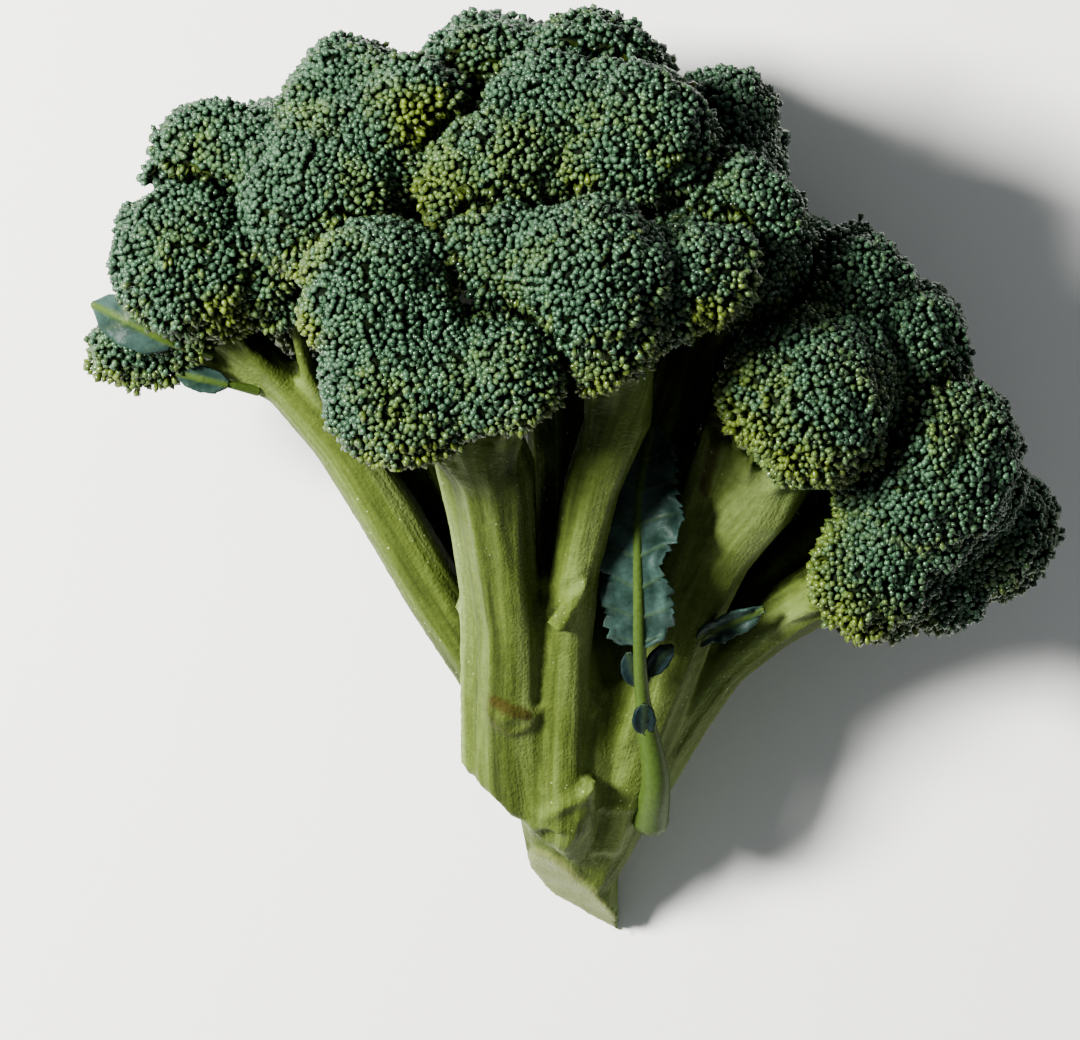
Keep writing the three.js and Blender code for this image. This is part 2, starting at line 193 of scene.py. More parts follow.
def merged_copy(name: str, node: str) -> bpy.types.Object:
    """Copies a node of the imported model, its loose triangles merged to one skin.

    Args:
        name: Name of the copy.
        node: The node.

    Returns:
        The copy.
    """
    shape = bmesh.new()
    shape.from_mesh(bpy.data.objects[node].data)
    bmesh.ops.remove_doubles(shape, verts=shape.verts, dist=1e-6)
    return new_piece(name, shape)


def finish_modifiers(piece: bpy.types.Object) -> None:
    """Puts what a piece's modifiers make into its mesh and takes them off.

    Args:
        piece: The piece.
    """
    depsgraph = bpy.context.evaluated_depsgraph_get()
    done = bpy.data.meshes.new_from_object(
        piece.evaluated_get(depsgraph), preserve_all_data_layers=True, depsgraph=depsgraph
    )
    piece.modifiers.clear()
    piece.data = done


def remesh(piece: bpy.types.Object, voxel: float, smoothing: int) -> None:
    """Gives a piece one even skin and smooths it.

    Args:
        piece: The piece.
        voxel: Width of a face of the new skin, in metres.
        smoothing: Rounds of smoothing.
    """
    skin = piece.modifiers.new("skin", "REMESH")
    skin.mode = "VOXEL"
    skin.voxel_size = voxel
    smooth = piece.modifiers.new("smooth", "SMOOTH")
    smooth.factor = 0.5
    smooth.iterations = smoothing
    finish_modifiers(piece)


def rows(items: bpy.types.bpy_prop_collection, name: str) -> np.ndarray:
    """Reads three numbers of each item of a mesh.

    Args:
        items: The items, such as its vertices.
        name: Name of the numbers.

    Returns:
        One row for each item.
    """
    found = np.zeros(len(items) * 3, np.float32)
    items.foreach_get(name, found)
    return found.reshape(-1, 3).astype(float)


def positions(mesh: bpy.types.Mesh) -> np.ndarray:
    """The vertices of a mesh, one row of x, y, z each."""
    return rows(mesh.vertices, "co")


def normals(mesh: bpy.types.Mesh) -> np.ndarray:
    """The normals at the vertices of a mesh, one row of x, y, z each."""
    return rows(mesh.vertex_normals, "vector")


def move_vertices(mesh: bpy.types.Mesh, places: np.ndarray) -> None:
    """Puts the vertices of a mesh at new places."""
    mesh.vertices.foreach_set("co", places.astype(np.float32).ravel())
    mesh.update()


def keep_attribute(mesh: bpy.types.Mesh, name: str, values: np.ndarray) -> None:
    """Stores three numbers for each vertex of a mesh, which a material can read."""
    attribute = mesh.attributes.new(name, "FLOAT_VECTOR", "POINT")
    attribute.data.foreach_set("vector", values.astype(np.float32).ravel())


def smooth_shading(piece: bpy.types.Object) -> None:
    """Shades a piece smooth all over."""
    piece.data.polygons.foreach_set("use_smooth", np.ones(len(piece.data.polygons), bool))


def surface_tree(pieces: list[bpy.types.Object]) -> BVHTree:
    """Makes one search tree over the surfaces of several pieces.

    Args:
        pieces: The pieces.

    Returns:
        The tree.
    """
    shape = bmesh.new()
    for piece in pieces:
        shape.from_mesh(piece.data)
    tree = BVHTree.FromBMesh(shape)
    shape.free()
    return tree


def tilted(lean: float, turn: float) -> Vector:
    """The direction that leans away from the Z axis by one angle and is turned round it by another."""
    return Vector((math.sin(lean) * math.cos(turn), math.sin(lean) * math.sin(turn), math.cos(lean)))


# Where openness looks: how far each ring of directions leans from the outward way, in degrees, and their number
SKY_RINGS = ((35, 4), (65, 6))


def openness(places: np.ndarray, ways: np.ndarray, around: BVHTree) -> np.ndarray:
    """How much of the sky each point of a surface sees.

    Args:
        places: The points.
        ways: Outward directions there.
        around: The surfaces of the whole head.

    Returns:
        A share from 0, hidden, to 1, quite free, for each point.
    """
    tilts = [Vector((0, 0, 1))]
    for ring, count in SKY_RINGS:
        for step in range(count):
            turn = 2 * math.pi * (step + ring / 100) / count
            tilts.append(tilted(math.radians(ring), turn))
    reach, lift_mm, far_wall_share = 45 * MM, 1.2, 0.6
    seen = np.zeros(len(places))
    for index, (place, way) in enumerate(zip(places, ways)):
        normal = Vector(way)
        turn = normal.to_track_quat("Z", "Y")
        start = Vector(place) + normal * lift_mm * MM
        free = 0.0
        for tilt in tilts:
            hit = around.ray_cast(start, turn @ tilt, reach)
            free += 1.0 if hit[0] is None else far_wall_share * (hit[3] / reach)
        seen[index] = free / len(tilts)
    return seen


class Slot(Enum):
    """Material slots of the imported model."""

    STALK_SKIN = "stalk_skin"
    BUDS = "buds"
    LEAF_GREEN = "leaf_green"


def show(piece: bpy.types.Object, node: str, material: bpy.types.Material) -> None:
    """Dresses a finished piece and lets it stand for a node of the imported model.

    Args:
        piece: The finished piece.
        node: The node that it stands for.
        material: Its material.
    """
    piece.data.materials.clear()
    piece.data.materials.append(material)
    smooth_shading(piece)
    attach(piece, BODY)
    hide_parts(node)
    log.info("%s: %d triangles", piece.name, sum(len(face.vertices) - 2 for face in piece.data.polygons))


class Graph:
    """Short ways to add nodes to a node tree."""

    def __init__(self, tree: bpy.types.NodeTree) -> None:
        """Takes the tree that the nodes go into."""
        self.tree = tree

    def add(self, kind: str, *inputs: object, **settings: object) -> bpy.types.Node:
        """Adds a node.

        Args:
            kind: The node's type, such as ShaderNodeMath.
            *inputs: What its first sockets get, in order: a socket, a value, or None to leave it.
            **settings: The node's own properties.

        Returns:
            The new node.
        """
        node = self.tree.nodes.new(kind)
        for name, value in settings.items():
            setattr(node, name, value)
        for socket, value in zip(node.inputs, inputs):
            self.feed(socket, value)
        return node

    def feed(self, socket: bpy.types.NodeSocket, value: object) -> None:
        """Links a socket to another, or sets its value.

        Args:
            socket: The socket that is fed.
            value: Another socket, a value, or None to leave it.
        """
        if isinstance(value, bpy.types.NodeSocket):
            self.tree.links.new(value, socket)
        elif value is not None:
            socket.default_value = value

    def math(self, operation: str, *inputs: object) -> bpy.types.NodeSocket:
        """Adds a Math node and gives its result."""
        return self.add("ShaderNodeMath", *inputs, operation=operation).outputs[0]

    def mix(self, share: object, first: object, second: object) -> bpy.types.NodeSocket:
        """Adds a node that mixes two colours.

        Args:
            share: How much of the second colour there is.
            first: The first colour.
            second: The second colour.

        Returns:
            The mixed colour.
        """
        node = self.add("ShaderNodeMix", data_type="RGBA")
        for socket, value in zip((node.inputs[0], node.inputs[6], node.inputs[7]), (share, first, second)):
            self.feed(socket, value)
        return node.outputs[2]

    def spread(self, value: object, low: float, high: float, to_low: float, to_high: float) -> bpy.types.NodeSocket:
        """Adds a node that spreads a range of values over another, and gives its result."""
        return self.add("ShaderNodeMapRange", value, low, high, to_low, to_high).outputs[0]

    def noise(self, place: object, scale: float, detail: float = 2.0) -> bpy.types.NodeSocket:
        """Adds a noise pattern.

        Args:
            place: The coordinates of the pattern.
            scale: Its fineness.
            detail: How many finer layers it has.

        Returns:
            Its value.
        """
        node = self.add("ShaderNodeTexNoise")
        self.feed(node.inputs["Vector"], place)
        node.inputs["Scale"].default_value = scale
        node.inputs["Detail"].default_value = detail
        return node.outputs[0]

    def place(self) -> bpy.types.NodeSocket:
        """Adds a node that gives each point's own place on the piece."""
        return self.add("ShaderNodeTexCoord").outputs["Object"]

    def parts(self, attribute: str) -> list[bpy.types.NodeSocket]:
        """Adds nodes that read the three numbers of a mesh attribute."""
        source = self.add("ShaderNodeAttribute", attribute_name=attribute)
        return list(self.add("ShaderNodeSeparateXYZ", source.outputs["Vector"]).outputs)

    def raise_pattern(self, shader: bpy.types.Node, height: object, strength: float, depth: float) -> None:
        """Makes a pattern stand out on a surface.

        Args:
            shader: The material's main shader.
            height: The pattern.
            strength: How strongly it shows, from 0 to 1.
            depth: How far it stands out, in metres.
        """
        bump = self.add("ShaderNodeBump")
        self.feed(bump.inputs["Height"], height)
        bump.inputs["Strength"].default_value = strength
        bump.inputs["Distance"].default_value = depth
        self.feed(shader.inputs["Normal"], bump.outputs[0])


def speckled_group() -> bpy.types.NodeTree:
    """The shader group that mottles a colour and raises fine grain.

    Returns:
        A group with inputs Vector, Color, Size, Depth, and outputs Color and Height.
    """
    found = bpy.data.node_groups.get("speckled")
    if found:
        return found
    group = bpy.data.node_groups.new("speckled", "ShaderNodeTree")
    for name, kind in (("Vector", "Vector"), ("Color", "Color"), ("Size", "Float"), ("Depth", "Float")):
        group.interface.new_socket(name=name, in_out="INPUT", socket_type="NodeSocket" + kind)
    group.interface.new_socket(name="Color", in_out="OUTPUT", socket_type="NodeSocketColor")
    group.interface.new_socket(name="Height", in_out="OUTPUT", socket_type="NodeSocketFloat")
    graph = Graph(group)
    given = graph.add("NodeGroupInput").outputs
    pattern = graph.add("ShaderNodeTexNoise")
    graph.feed(pattern.inputs["Vector"], given["Vector"])
    graph.feed(pattern.inputs["Scale"], given["Size"])
    pattern.inputs["Detail"].default_value = 4.0
    light = graph.math("MULTIPLY_ADD", graph.math("SUBTRACT", pattern.outputs[0], 0.5), given["Depth"], 1.0)
    node = graph.add("ShaderNodeVectorMath", given["Color"], operation="SCALE")
    graph.feed(node.inputs["Scale"], light)
    graph.add("NodeGroupOutput", node.outputs[0], pattern.outputs[0])
    return group


def speckled(graph: Graph, place: object, colour: object, size: float, depth: float) -> bpy.types.Node:
    """Places the shader group that mottles a colour.

    Args:
        graph: The material's nodes.
        place: The coordinates of the pattern.
        colour: The colour before.
        size: Fineness of the pattern, in patches a metre.
        depth: How far the colour goes up and down, as a share.

    Returns:
        The group's node.
    """
    node = graph.add("ShaderNodeGroup", node_tree=speckled_group())
    for name, value in (("Vector", place), ("Color", colour), ("Size", size), ("Depth", depth)):
        graph.feed(node.inputs[name], value)
    return node


Colour = tuple[float, float, float, float]


def new_material(name: str) -> tuple[bpy.types.Material, Graph, bpy.types.Node]:
    """Starts a material.

    Args:
        name: Its name.

    Returns:
        The material, its nodes and its main shader.
    """
    material = bpy.data.materials.new(name)
    material.use_nodes = True
    return material, Graph(material.node_tree), material.node_tree.nodes["Principled BSDF"]


@dataclass(frozen=True)
class BudSkin:
    """The finish of the flower buds: waxy blue-green, yellower on stalked and shaded ones.

    The bloom lies in a ring near the top of a bud, partly real bloom and partly a painted rim highlight,
    and its foot is darkened as painted shade between the buds, at the given shares of its height.
    """

    crown: Colour = (0.016, 0.043, 0.022, 1)
    bloom: Colour = (0.062, 0.116, 0.070, 1)
    yellow: Colour = (0.110, 0.150, 0.022, 1)
    # The foot colour is painted shade where the buds crowd together
    painted_foot_shade: Colour = (0.008, 0.016, 0.005, 1)
    # The bloom ring is partly the real waxy bloom and partly a painted rim highlight
    bloom_sheen_below: tuple[float, float] = (0.5, 0.74)
    bloom_sheen_above: tuple[float, float] = (0.98, 0.84)
    bloom_sheen_strength: float = 0.75
    foot_shade_between: tuple[float, float] = (0.2, 0.62)
    foot_shade_strength: float = 0.85
    grain: float = 1800.0
    mottling: float = 0.7
    roughness: float = 0.2
    shine: float = 0.38

    def material(self) -> bpy.types.Material:
        """Makes the material. It reads how yellow, how light and how far up a bud each point is; the lightness is
        partly painted shade on hidden buds.

        Returns:
            The material.
        """
        material, graph, shader = new_material("bud_skin")
        yellow, light, _ = graph.parts("tone")
        height, _, _ = graph.parts("bud")
        # A ring of bloom colour below each tip: partly real bloom, partly a painted rim highlight
        rising = graph.spread(height, *self.bloom_sheen_below, 0, 1)
        falling = graph.spread(height, *self.bloom_sheen_above, 0.1, 1)
        ring = graph.math("MULTIPLY", rising, falling)
        bloom_and_painted_sheen = graph.mix(graph.math("MULTIPLY", ring, self.bloom_sheen_strength), self.crown, self.bloom)
        colour = graph.mix(yellow, bloom_and_painted_sheen, self.yellow)
        # Painted shade: the lower part of each bud goes dark
        colour = graph.mix(graph.spread(height, *self.foot_shade_between, self.foot_shade_strength, 0), colour, self.painted_foot_shade)
        mottled = speckled(graph, graph.place(), colour, self.grain, self.mottling)
        # The colour is scaled by each bud's lightness, which holds painted shade on buds that see little sky
        shade = graph.add("ShaderNodeVectorMath", mottled.outputs["Color"], operation="SCALE")
        graph.feed(shade.inputs["Scale"], light)
        graph.feed(shader.inputs["Base Color"], shade.outputs[0])
        shader.inputs["Roughness"].default_value = self.roughness
        shader.inputs["Specular IOR Level"].default_value = self.shine
        graph.raise_pattern(shader, mottled.outputs["Height"], strength=0.25, depth=0.2 * MM)
        return material


@dataclass(frozen=True)
class FleshSkin:
    """The finish of what shows between the buds: short green stalks, coloured nearly black as painted shade."""

    # The deep colour is painted shade: nearly black where the buds hide the stalks
    deep: Colour = (0.004, 0.008, 0.003, 1)
    pale: Colour = (0.035, 0.052, 0.009, 1)
    grain: float = 700.0
    mottling: float = 0.9
    roughness: float = 0.6
    shine: float = 0.05

    def material(self) -> bpy.types.Material:
        """Makes the material. It reads how yellow each point is.

        Returns:
            The material.
        """
        material, graph, shader = new_material("flesh_skin")
        yellow, _, _ = graph.parts("tone")
        colour = graph.mix(yellow, self.deep, self.pale)
        mottled = speckled(graph, graph.place(), colour, self.grain, self.mottling)
        graph.feed(shader.inputs["Base Color"], mottled.outputs["Color"])
        shader.inputs["Roughness"].default_value = self.roughness
        shader.inputs["Specular IOR Level"].default_value = self.shine
        graph.raise_pattern(shader, mottled.outputs["Height"], strength=0.6, depth=0.6 * MM)
        return material


@dataclass(frozen=True)
class StalkSkin:
    """The finish of the stalk: yellow-green skin with pale and dark streaks, darkened as painted shade on the deep
    stems and in recesses, tiny pale specks and a pale cut face.
    """

    green: Colour = (0.091, 0.125, 0.031, 1)
    pale: Colour = (0.185, 0.243, 0.090, 1)
    # The dark colour serves both real dark streaks and painted shade
    dark_and_painted_shade: Colour = (0.021, 0.030, 0.009, 1)
    cut: Colour = (0.160, 0.190, 0.066, 1)
    scar: Colour = (0.050, 0.042, 0.012, 1)
    speck: Colour = (0.45, 0.52, 0.25, 1)
    streak_grain: float = 900.0
    pore_grain: float = 1400.0
    speck_cells: float = 420.0
    speck_radius: float = 0.1
    speck_patches: float = 45.0
    speck_strength: float = 0.6
    mottle_grain: float = 420.0
    mottling: float = 0.6
    roughness: float = 0.36
    shine: float = 0.05

    def material(self) -> bpy.types.Material:
        """Makes the material. It reads the streaks, the cut and the grain of the stalk.

        Returns:
            The material.
        """
        material, graph, shader = new_material("stalk_skin")
        streak_and_painted_shade, cut, scar = graph.parts("skin")
        grain = graph.add("ShaderNodeAttribute", attribute_name="grain").outputs["Vector"]
        place = graph.place()
        fine = graph.noise(grain, self.streak_grain, 3.0)
        mixed = graph.math("ADD", streak_and_painted_shade, graph.spread(fine, 0.3, 0.7, -0.1, 0.1))
        colour = graph.mix(graph.spread(mixed, 0.5, 0.05, 0, 1), self.green, self.dark_and_painted_shade)
        colour = graph.mix(graph.spread(mixed, 0.5, 0.98, 0, 1), colour, self.pale)
        colour = graph.mix(cut, colour, self.cut)
        colour = graph.mix(scar, colour, self.scar)
        cells = graph.add("ShaderNodeTexVoronoi", place)
        cells.inputs["Scale"].default_value = self.speck_cells
        dots = graph.math("LESS_THAN", cells.outputs["Distance"], self.speck_radius)
        patchy = graph.spread(graph.noise(place, self.speck_patches), 0.45, 0.6, 0.0, self.speck_strength)
        colour = graph.mix(graph.math("MULTIPLY", dots, patchy), colour, self.speck)
        mottled = speckled(graph, place, colour, self.mottle_grain, self.mottling)
        graph.feed(shader.inputs["Base Color"], mottled.outputs["Color"])
        rough = graph.spread(graph.noise(place, 150.0), 0.3, 0.7, self.roughness - 0.06, self.roughness + 0.1)
        graph.feed(shader.inputs["Roughness"], rough)
        shader.inputs["Subsurface Weight"].default_value = 0.06
        shader.inputs["Subsurface Radius"].default_value = (0.8, 1.0, 0.3)
        shader.inputs["Subsurface Scale"].default_value = 2 * MM
        shader.inputs["Specular IOR Level"].default_value = self.shine
        pores = graph.math("ADD", fine, graph.noise(place, self.pore_grain))
        graph.raise_pattern(shader, pores, strength=0.45, depth=0.6 * MM)
        return material


@dataclass(frozen=True)
class LeafSkin:
    """The finish of a leaf: dark blue-green blade with a bloom, paler ribs and stem, and painted shade on the
    leaflets.
    """

    blade: Colour = (0.014, 0.031, 0.024, 1)
    bloom: Colour = (0.042, 0.076, 0.066, 1)
    rib: Colour = (0.062, 0.100, 0.024, 1)
    # Painted shade colour for the darkened leaflets
    painted_leaf_shade: Colour = (0.007, 0.014, 0.018, 1)
    bloom_patches: float = 180.0
    edge_bloom: float = 0.3
    grain: float = 900.0
    mottling: float = 0.6
    roughness: float = 0.42
    shine: float = 0.12

    def material(self) -> bpy.types.Material:
        """Makes the material. It reads where the ribs and the edge of the leaf are, and how much painted shade darkens
        it.

        Returns:
            The material.
        """
        material, graph, shader = new_material("leaf_skin")
        rib, edge, painted_leaf_shade = graph.parts("leaf")
        place = graph.place()
        cloudy = graph.spread(graph.noise(place, self.bloom_patches, 4.0), 0.35, 0.65, 0, 1)
        colour = graph.mix(cloudy, self.blade, self.bloom)
        colour = graph.mix(rib, colour, self.rib)
        colour = graph.mix(graph.math("MULTIPLY", edge, self.edge_bloom), colour, self.bloom)
        colour = graph.mix(painted_leaf_shade, colour, self.painted_leaf_shade)
        mottled = speckled(graph, place, colour, self.grain, self.mottling)
        graph.feed(shader.inputs["Base Color"], mottled.outputs["Color"])
        shader.inputs["Roughness"].default_value = self.roughness
        shader.inputs["Specular IOR Level"].default_value = self.shine
        graph.raise_pattern(shader, mottled.outputs["Height"], strength=0.4, depth=0.4 * MM)
        return material


@dataclass(frozen=True)
class Paper:
    """The finish of the floor: plain pale paper."""

    colour: Colour = (0.86, 0.86, 0.85, 1)
    grain: float = 40.0
    mottling: float = 0.02
    roughness: float = 0.85

    def material(self) -> bpy.types.Material:
        """Makes the material.

        Returns:
            The material.
        """
        material, graph, shader = new_material("paper")
        mottled = speckled(graph, graph.place(), self.colour, self.grain, self.mottling)
        graph.feed(shader.inputs["Base Color"], mottled.outputs["Color"])
        shader.inputs["Roughness"].default_value = self.roughness
        return material


@dataclass(frozen=True)
class Stem:
    """One stem of the stalk, drawn in millimetres, with the radius at each point of its middle line."""

    path: tuple[tuple[float, float, float], ...]
    radii: tuple[float, ...]
    # Paleness lightens or darkens a stem's streaks; the strongly negative values are painted shade
    paleness_and_painted_shade: float = 0.0

    def line(self) -> Line:
        """Its middle line, in metres."""
        return Line([drawn(*point) for point in self.path])


STEMS: dict[str, Stem] = {
    "trunk": Stem(((3, -112, 2), (0, -92, 11), (0, -70, 28), (-1, -44, 46)), (8.5, 10.5, 15.5, 14)),
    "trunk_side": Stem(((4, -94, 16), (9, -80, 24), (12, -62, 33), (12, -46, 38)), (4.5, 7.5, 12, 9), 0.1),
    "front_left": Stem(
        ((-12, -85, 31), (-14, -64, 45), (-14, -38, 66), (-17, -12, 88), (-19, 4, 102)), (8.5, 9, 7.6, 7.4, 9.5), -0.08
    ),
    "front_left_rib": Stem(((-21, -78, 34), (-21, -50, 50), (-22, -24, 72), (-27, 2, 96)), (5, 5, 4.4, 4.6), 0.22),
    "front_right": Stem(
        ((-4, -79, 38), (-3, -50, 56), (0, -22, 78), (7, 6, 100), (15, 22, 112)), (7.5, 6.8, 5.8, 5.8, 7.5), 0.0
    ),
    "right_upper": Stem(
        ((6, -84, 24), (12, -64, 38), (21, -40, 47), (32, -18, 60), (43, -4, 76)), (7, 9.5, 9, 8.6, 9.5), 0.25
    ),
    "right_upper_rib": Stem(
        ((6, -76, 32), (13, -56, 44), (19, -36, 51), (27, -14, 62), (35, 8, 78)), (6, 7.5, 7, 6.6, 7), 0.12
    ),
    "right_lower": Stem(
        ((8, -80, 20), (19, -62, 30), (32, -44, 38), (46, -33, 46), (58, -26, 54)), (7.5, 9, 7.6, 7, 7.6), 0.1
    ),
    "right_back": Stem(
        ((12, -60, 32), (31, -39, 37), (50, -21, 44), (64, -11, 54), (72, -6, 70)), (9, 8.4, 8, 7.6, 7), -0.2
    ),
    "left": Stem(((-8, -62, 34), (-28, -34, 42), (-50, 2, 54), (-64, 18, 61), (-78, 27, 68)), (8, 7.2, 7.2, 7, 5)),
    # The deep stems upper_left, top and upper_right are darkened by -0.35: painted shade
    "upper_left": Stem(((-4, -54, 44), (-16, -14, 58), (-30, 24, 72), (-36, 40, 80)), (9, 7, 6.6, 7), -0.35),
    "top": Stem(((-1, -54, 46), (-3, -8, 62), (-4, 34, 78), (-4, 52, 86)), (11, 8, 7.4, 7.6), -0.35),
    "upper_right": Stem(((3, -54, 42), (15, -12, 57), (25, 24, 72), (28, 40, 78)), (9, 8, 7, 7), -0.35),
    "back_left": Stem(((-6, -58, 32), (-24, -34, 32), (-36, -4, 34), (-48, 24, 34)), (9, 8.6, 8.4, 7), -0.1),
    "back": Stem(((0, -54, 34), (0, -26, 33), (-1, 6, 33), (-2, 34, 34)), (9, 7.6, 7, 7)),
    "back_right": Stem(((6, -56, 32), (20, -28, 33), (31, -4, 34), (38, 16, 34)), (9, 7.6, 7, 7)),
}


@dataclass(frozen=True)
class Welt:
    """A raised line on the stalk: the rim of a scale, the edge of a scar or a dried strip.

    Its points are drawn in millimetres as seen from above, each with a height over the skin.
    """

    points: tuple[tuple[float, float, float], ...]
    radii: tuple[float, ...]
    scarred: float = 0.0


WELTS: dict[str, Welt] = {
    "scale_rim": Welt(
        ((-10, -82.5, 0), (-5.9, -78.5, 0.2), (-2, -75.7, 0.3), (1.8, -74.4, 0.6), (3.7, -72.4, 1.4), (4.8, -70, 2.6)),
        (0.8, 1.2, 1.5, 1.6, 1.4, 0.8),
    ),
    "collar": Welt(((5.5, -75.9, 0), (9.9, -76.8, 0), (14.3, -76.8, 0), (16.5, -75.9, 0)), (0.8, 1.0, 1.0, 0.7)),
    "scar_edge": Welt(
        (
            *((-19.6, -53.5, 0.3), (-18.3, -56.1, 0.5), (-15.8, -58.3, 0.6)),
            *((-13.2, -59.4, 0.6), (-10.8, -58.5, 0.5), (-8.4, -54.8, 0)),
        ),
        (0.7, 1.0, 1.2, 1.2, 1.1, 0.7),
        0.25,
    ),
    "scar_flap": Welt(((-17.5, -52.6, 0.2), (-14, -54.6, 0.5), (-10.5, -56, 0.6)), (0.6, 0.9, 0.6), 0.9),
    "dried_strip": Welt(
        ((31.5, 6.8, 0.8), (30.4, 3.7, 0.8), (29.5, 0.2, 0.7), (28.8, -3.3, 0.7), (28.4, -5.9, 0.4)),
        (0.6, 1.0, 1.1, 0.9, 0.6),
        0.8,
    ),
    "stem_node": Welt(((-5.5, -27, 0), (-2.5, -25.6, 0.1), (0.8, -23.6, 0.1), (3.2, -21.5, 0)), (0.7, 0.9, 0.9, 0.7)),
}


def add_tube(shape: bmesh.types.BMesh, line: Line, radii: list[float], sides: int, steps: int) -> None:
    """Adds a closed tube along a line.

    Args:
        shape: What the tube is added to.
        line: Its middle line.
        radii: Radii in metres, evenly spread along the line.
        sides: Faces round it.
        steps: Rings along it.
    """
    part = bmesh.new()
    grid = bmesh.ops.create_grid(part, x_segments=sides, y_segments=steps, size=1.0)
    stations = np.linspace(0, 1, len(radii))
    for vertex in grid["verts"]:
        turn, along = math.pi * vertex.co.x, (vertex.co.y + 1) / 2
        tangent = line.tangent(along)
        sideways = tangent.cross(Vector((0.13, 0.21, 1))).normalized()
        radius = float(np.interp(along, stations, radii))
        round_it = sideways * math.sin(turn) + sideways.cross(tangent) * math.cos(turn)
        vertex.co = line.at(along) + round_it * radius
    bmesh.ops.remove_doubles(part, verts=part.verts, dist=1e-6)
    bmesh.ops.holes_fill(part, edges=part.edges, sides=0)
    bmesh.ops.recalc_face_normals(part, faces=part.faces)
    mesh = bpy.data.meshes.new("tube")
    part.to_mesh(mesh)
    part.free()
    shape.from_mesh(mesh)
    bpy.data.meshes.remove(mesh)


# Where the random numbers of the twigs start
TWIG_SEED = 50
# The height that the welts are dropped from, and how deep they sink into the skin, in millimetres
ABOVE_ALL = 200
WELT_SINK = 0.3


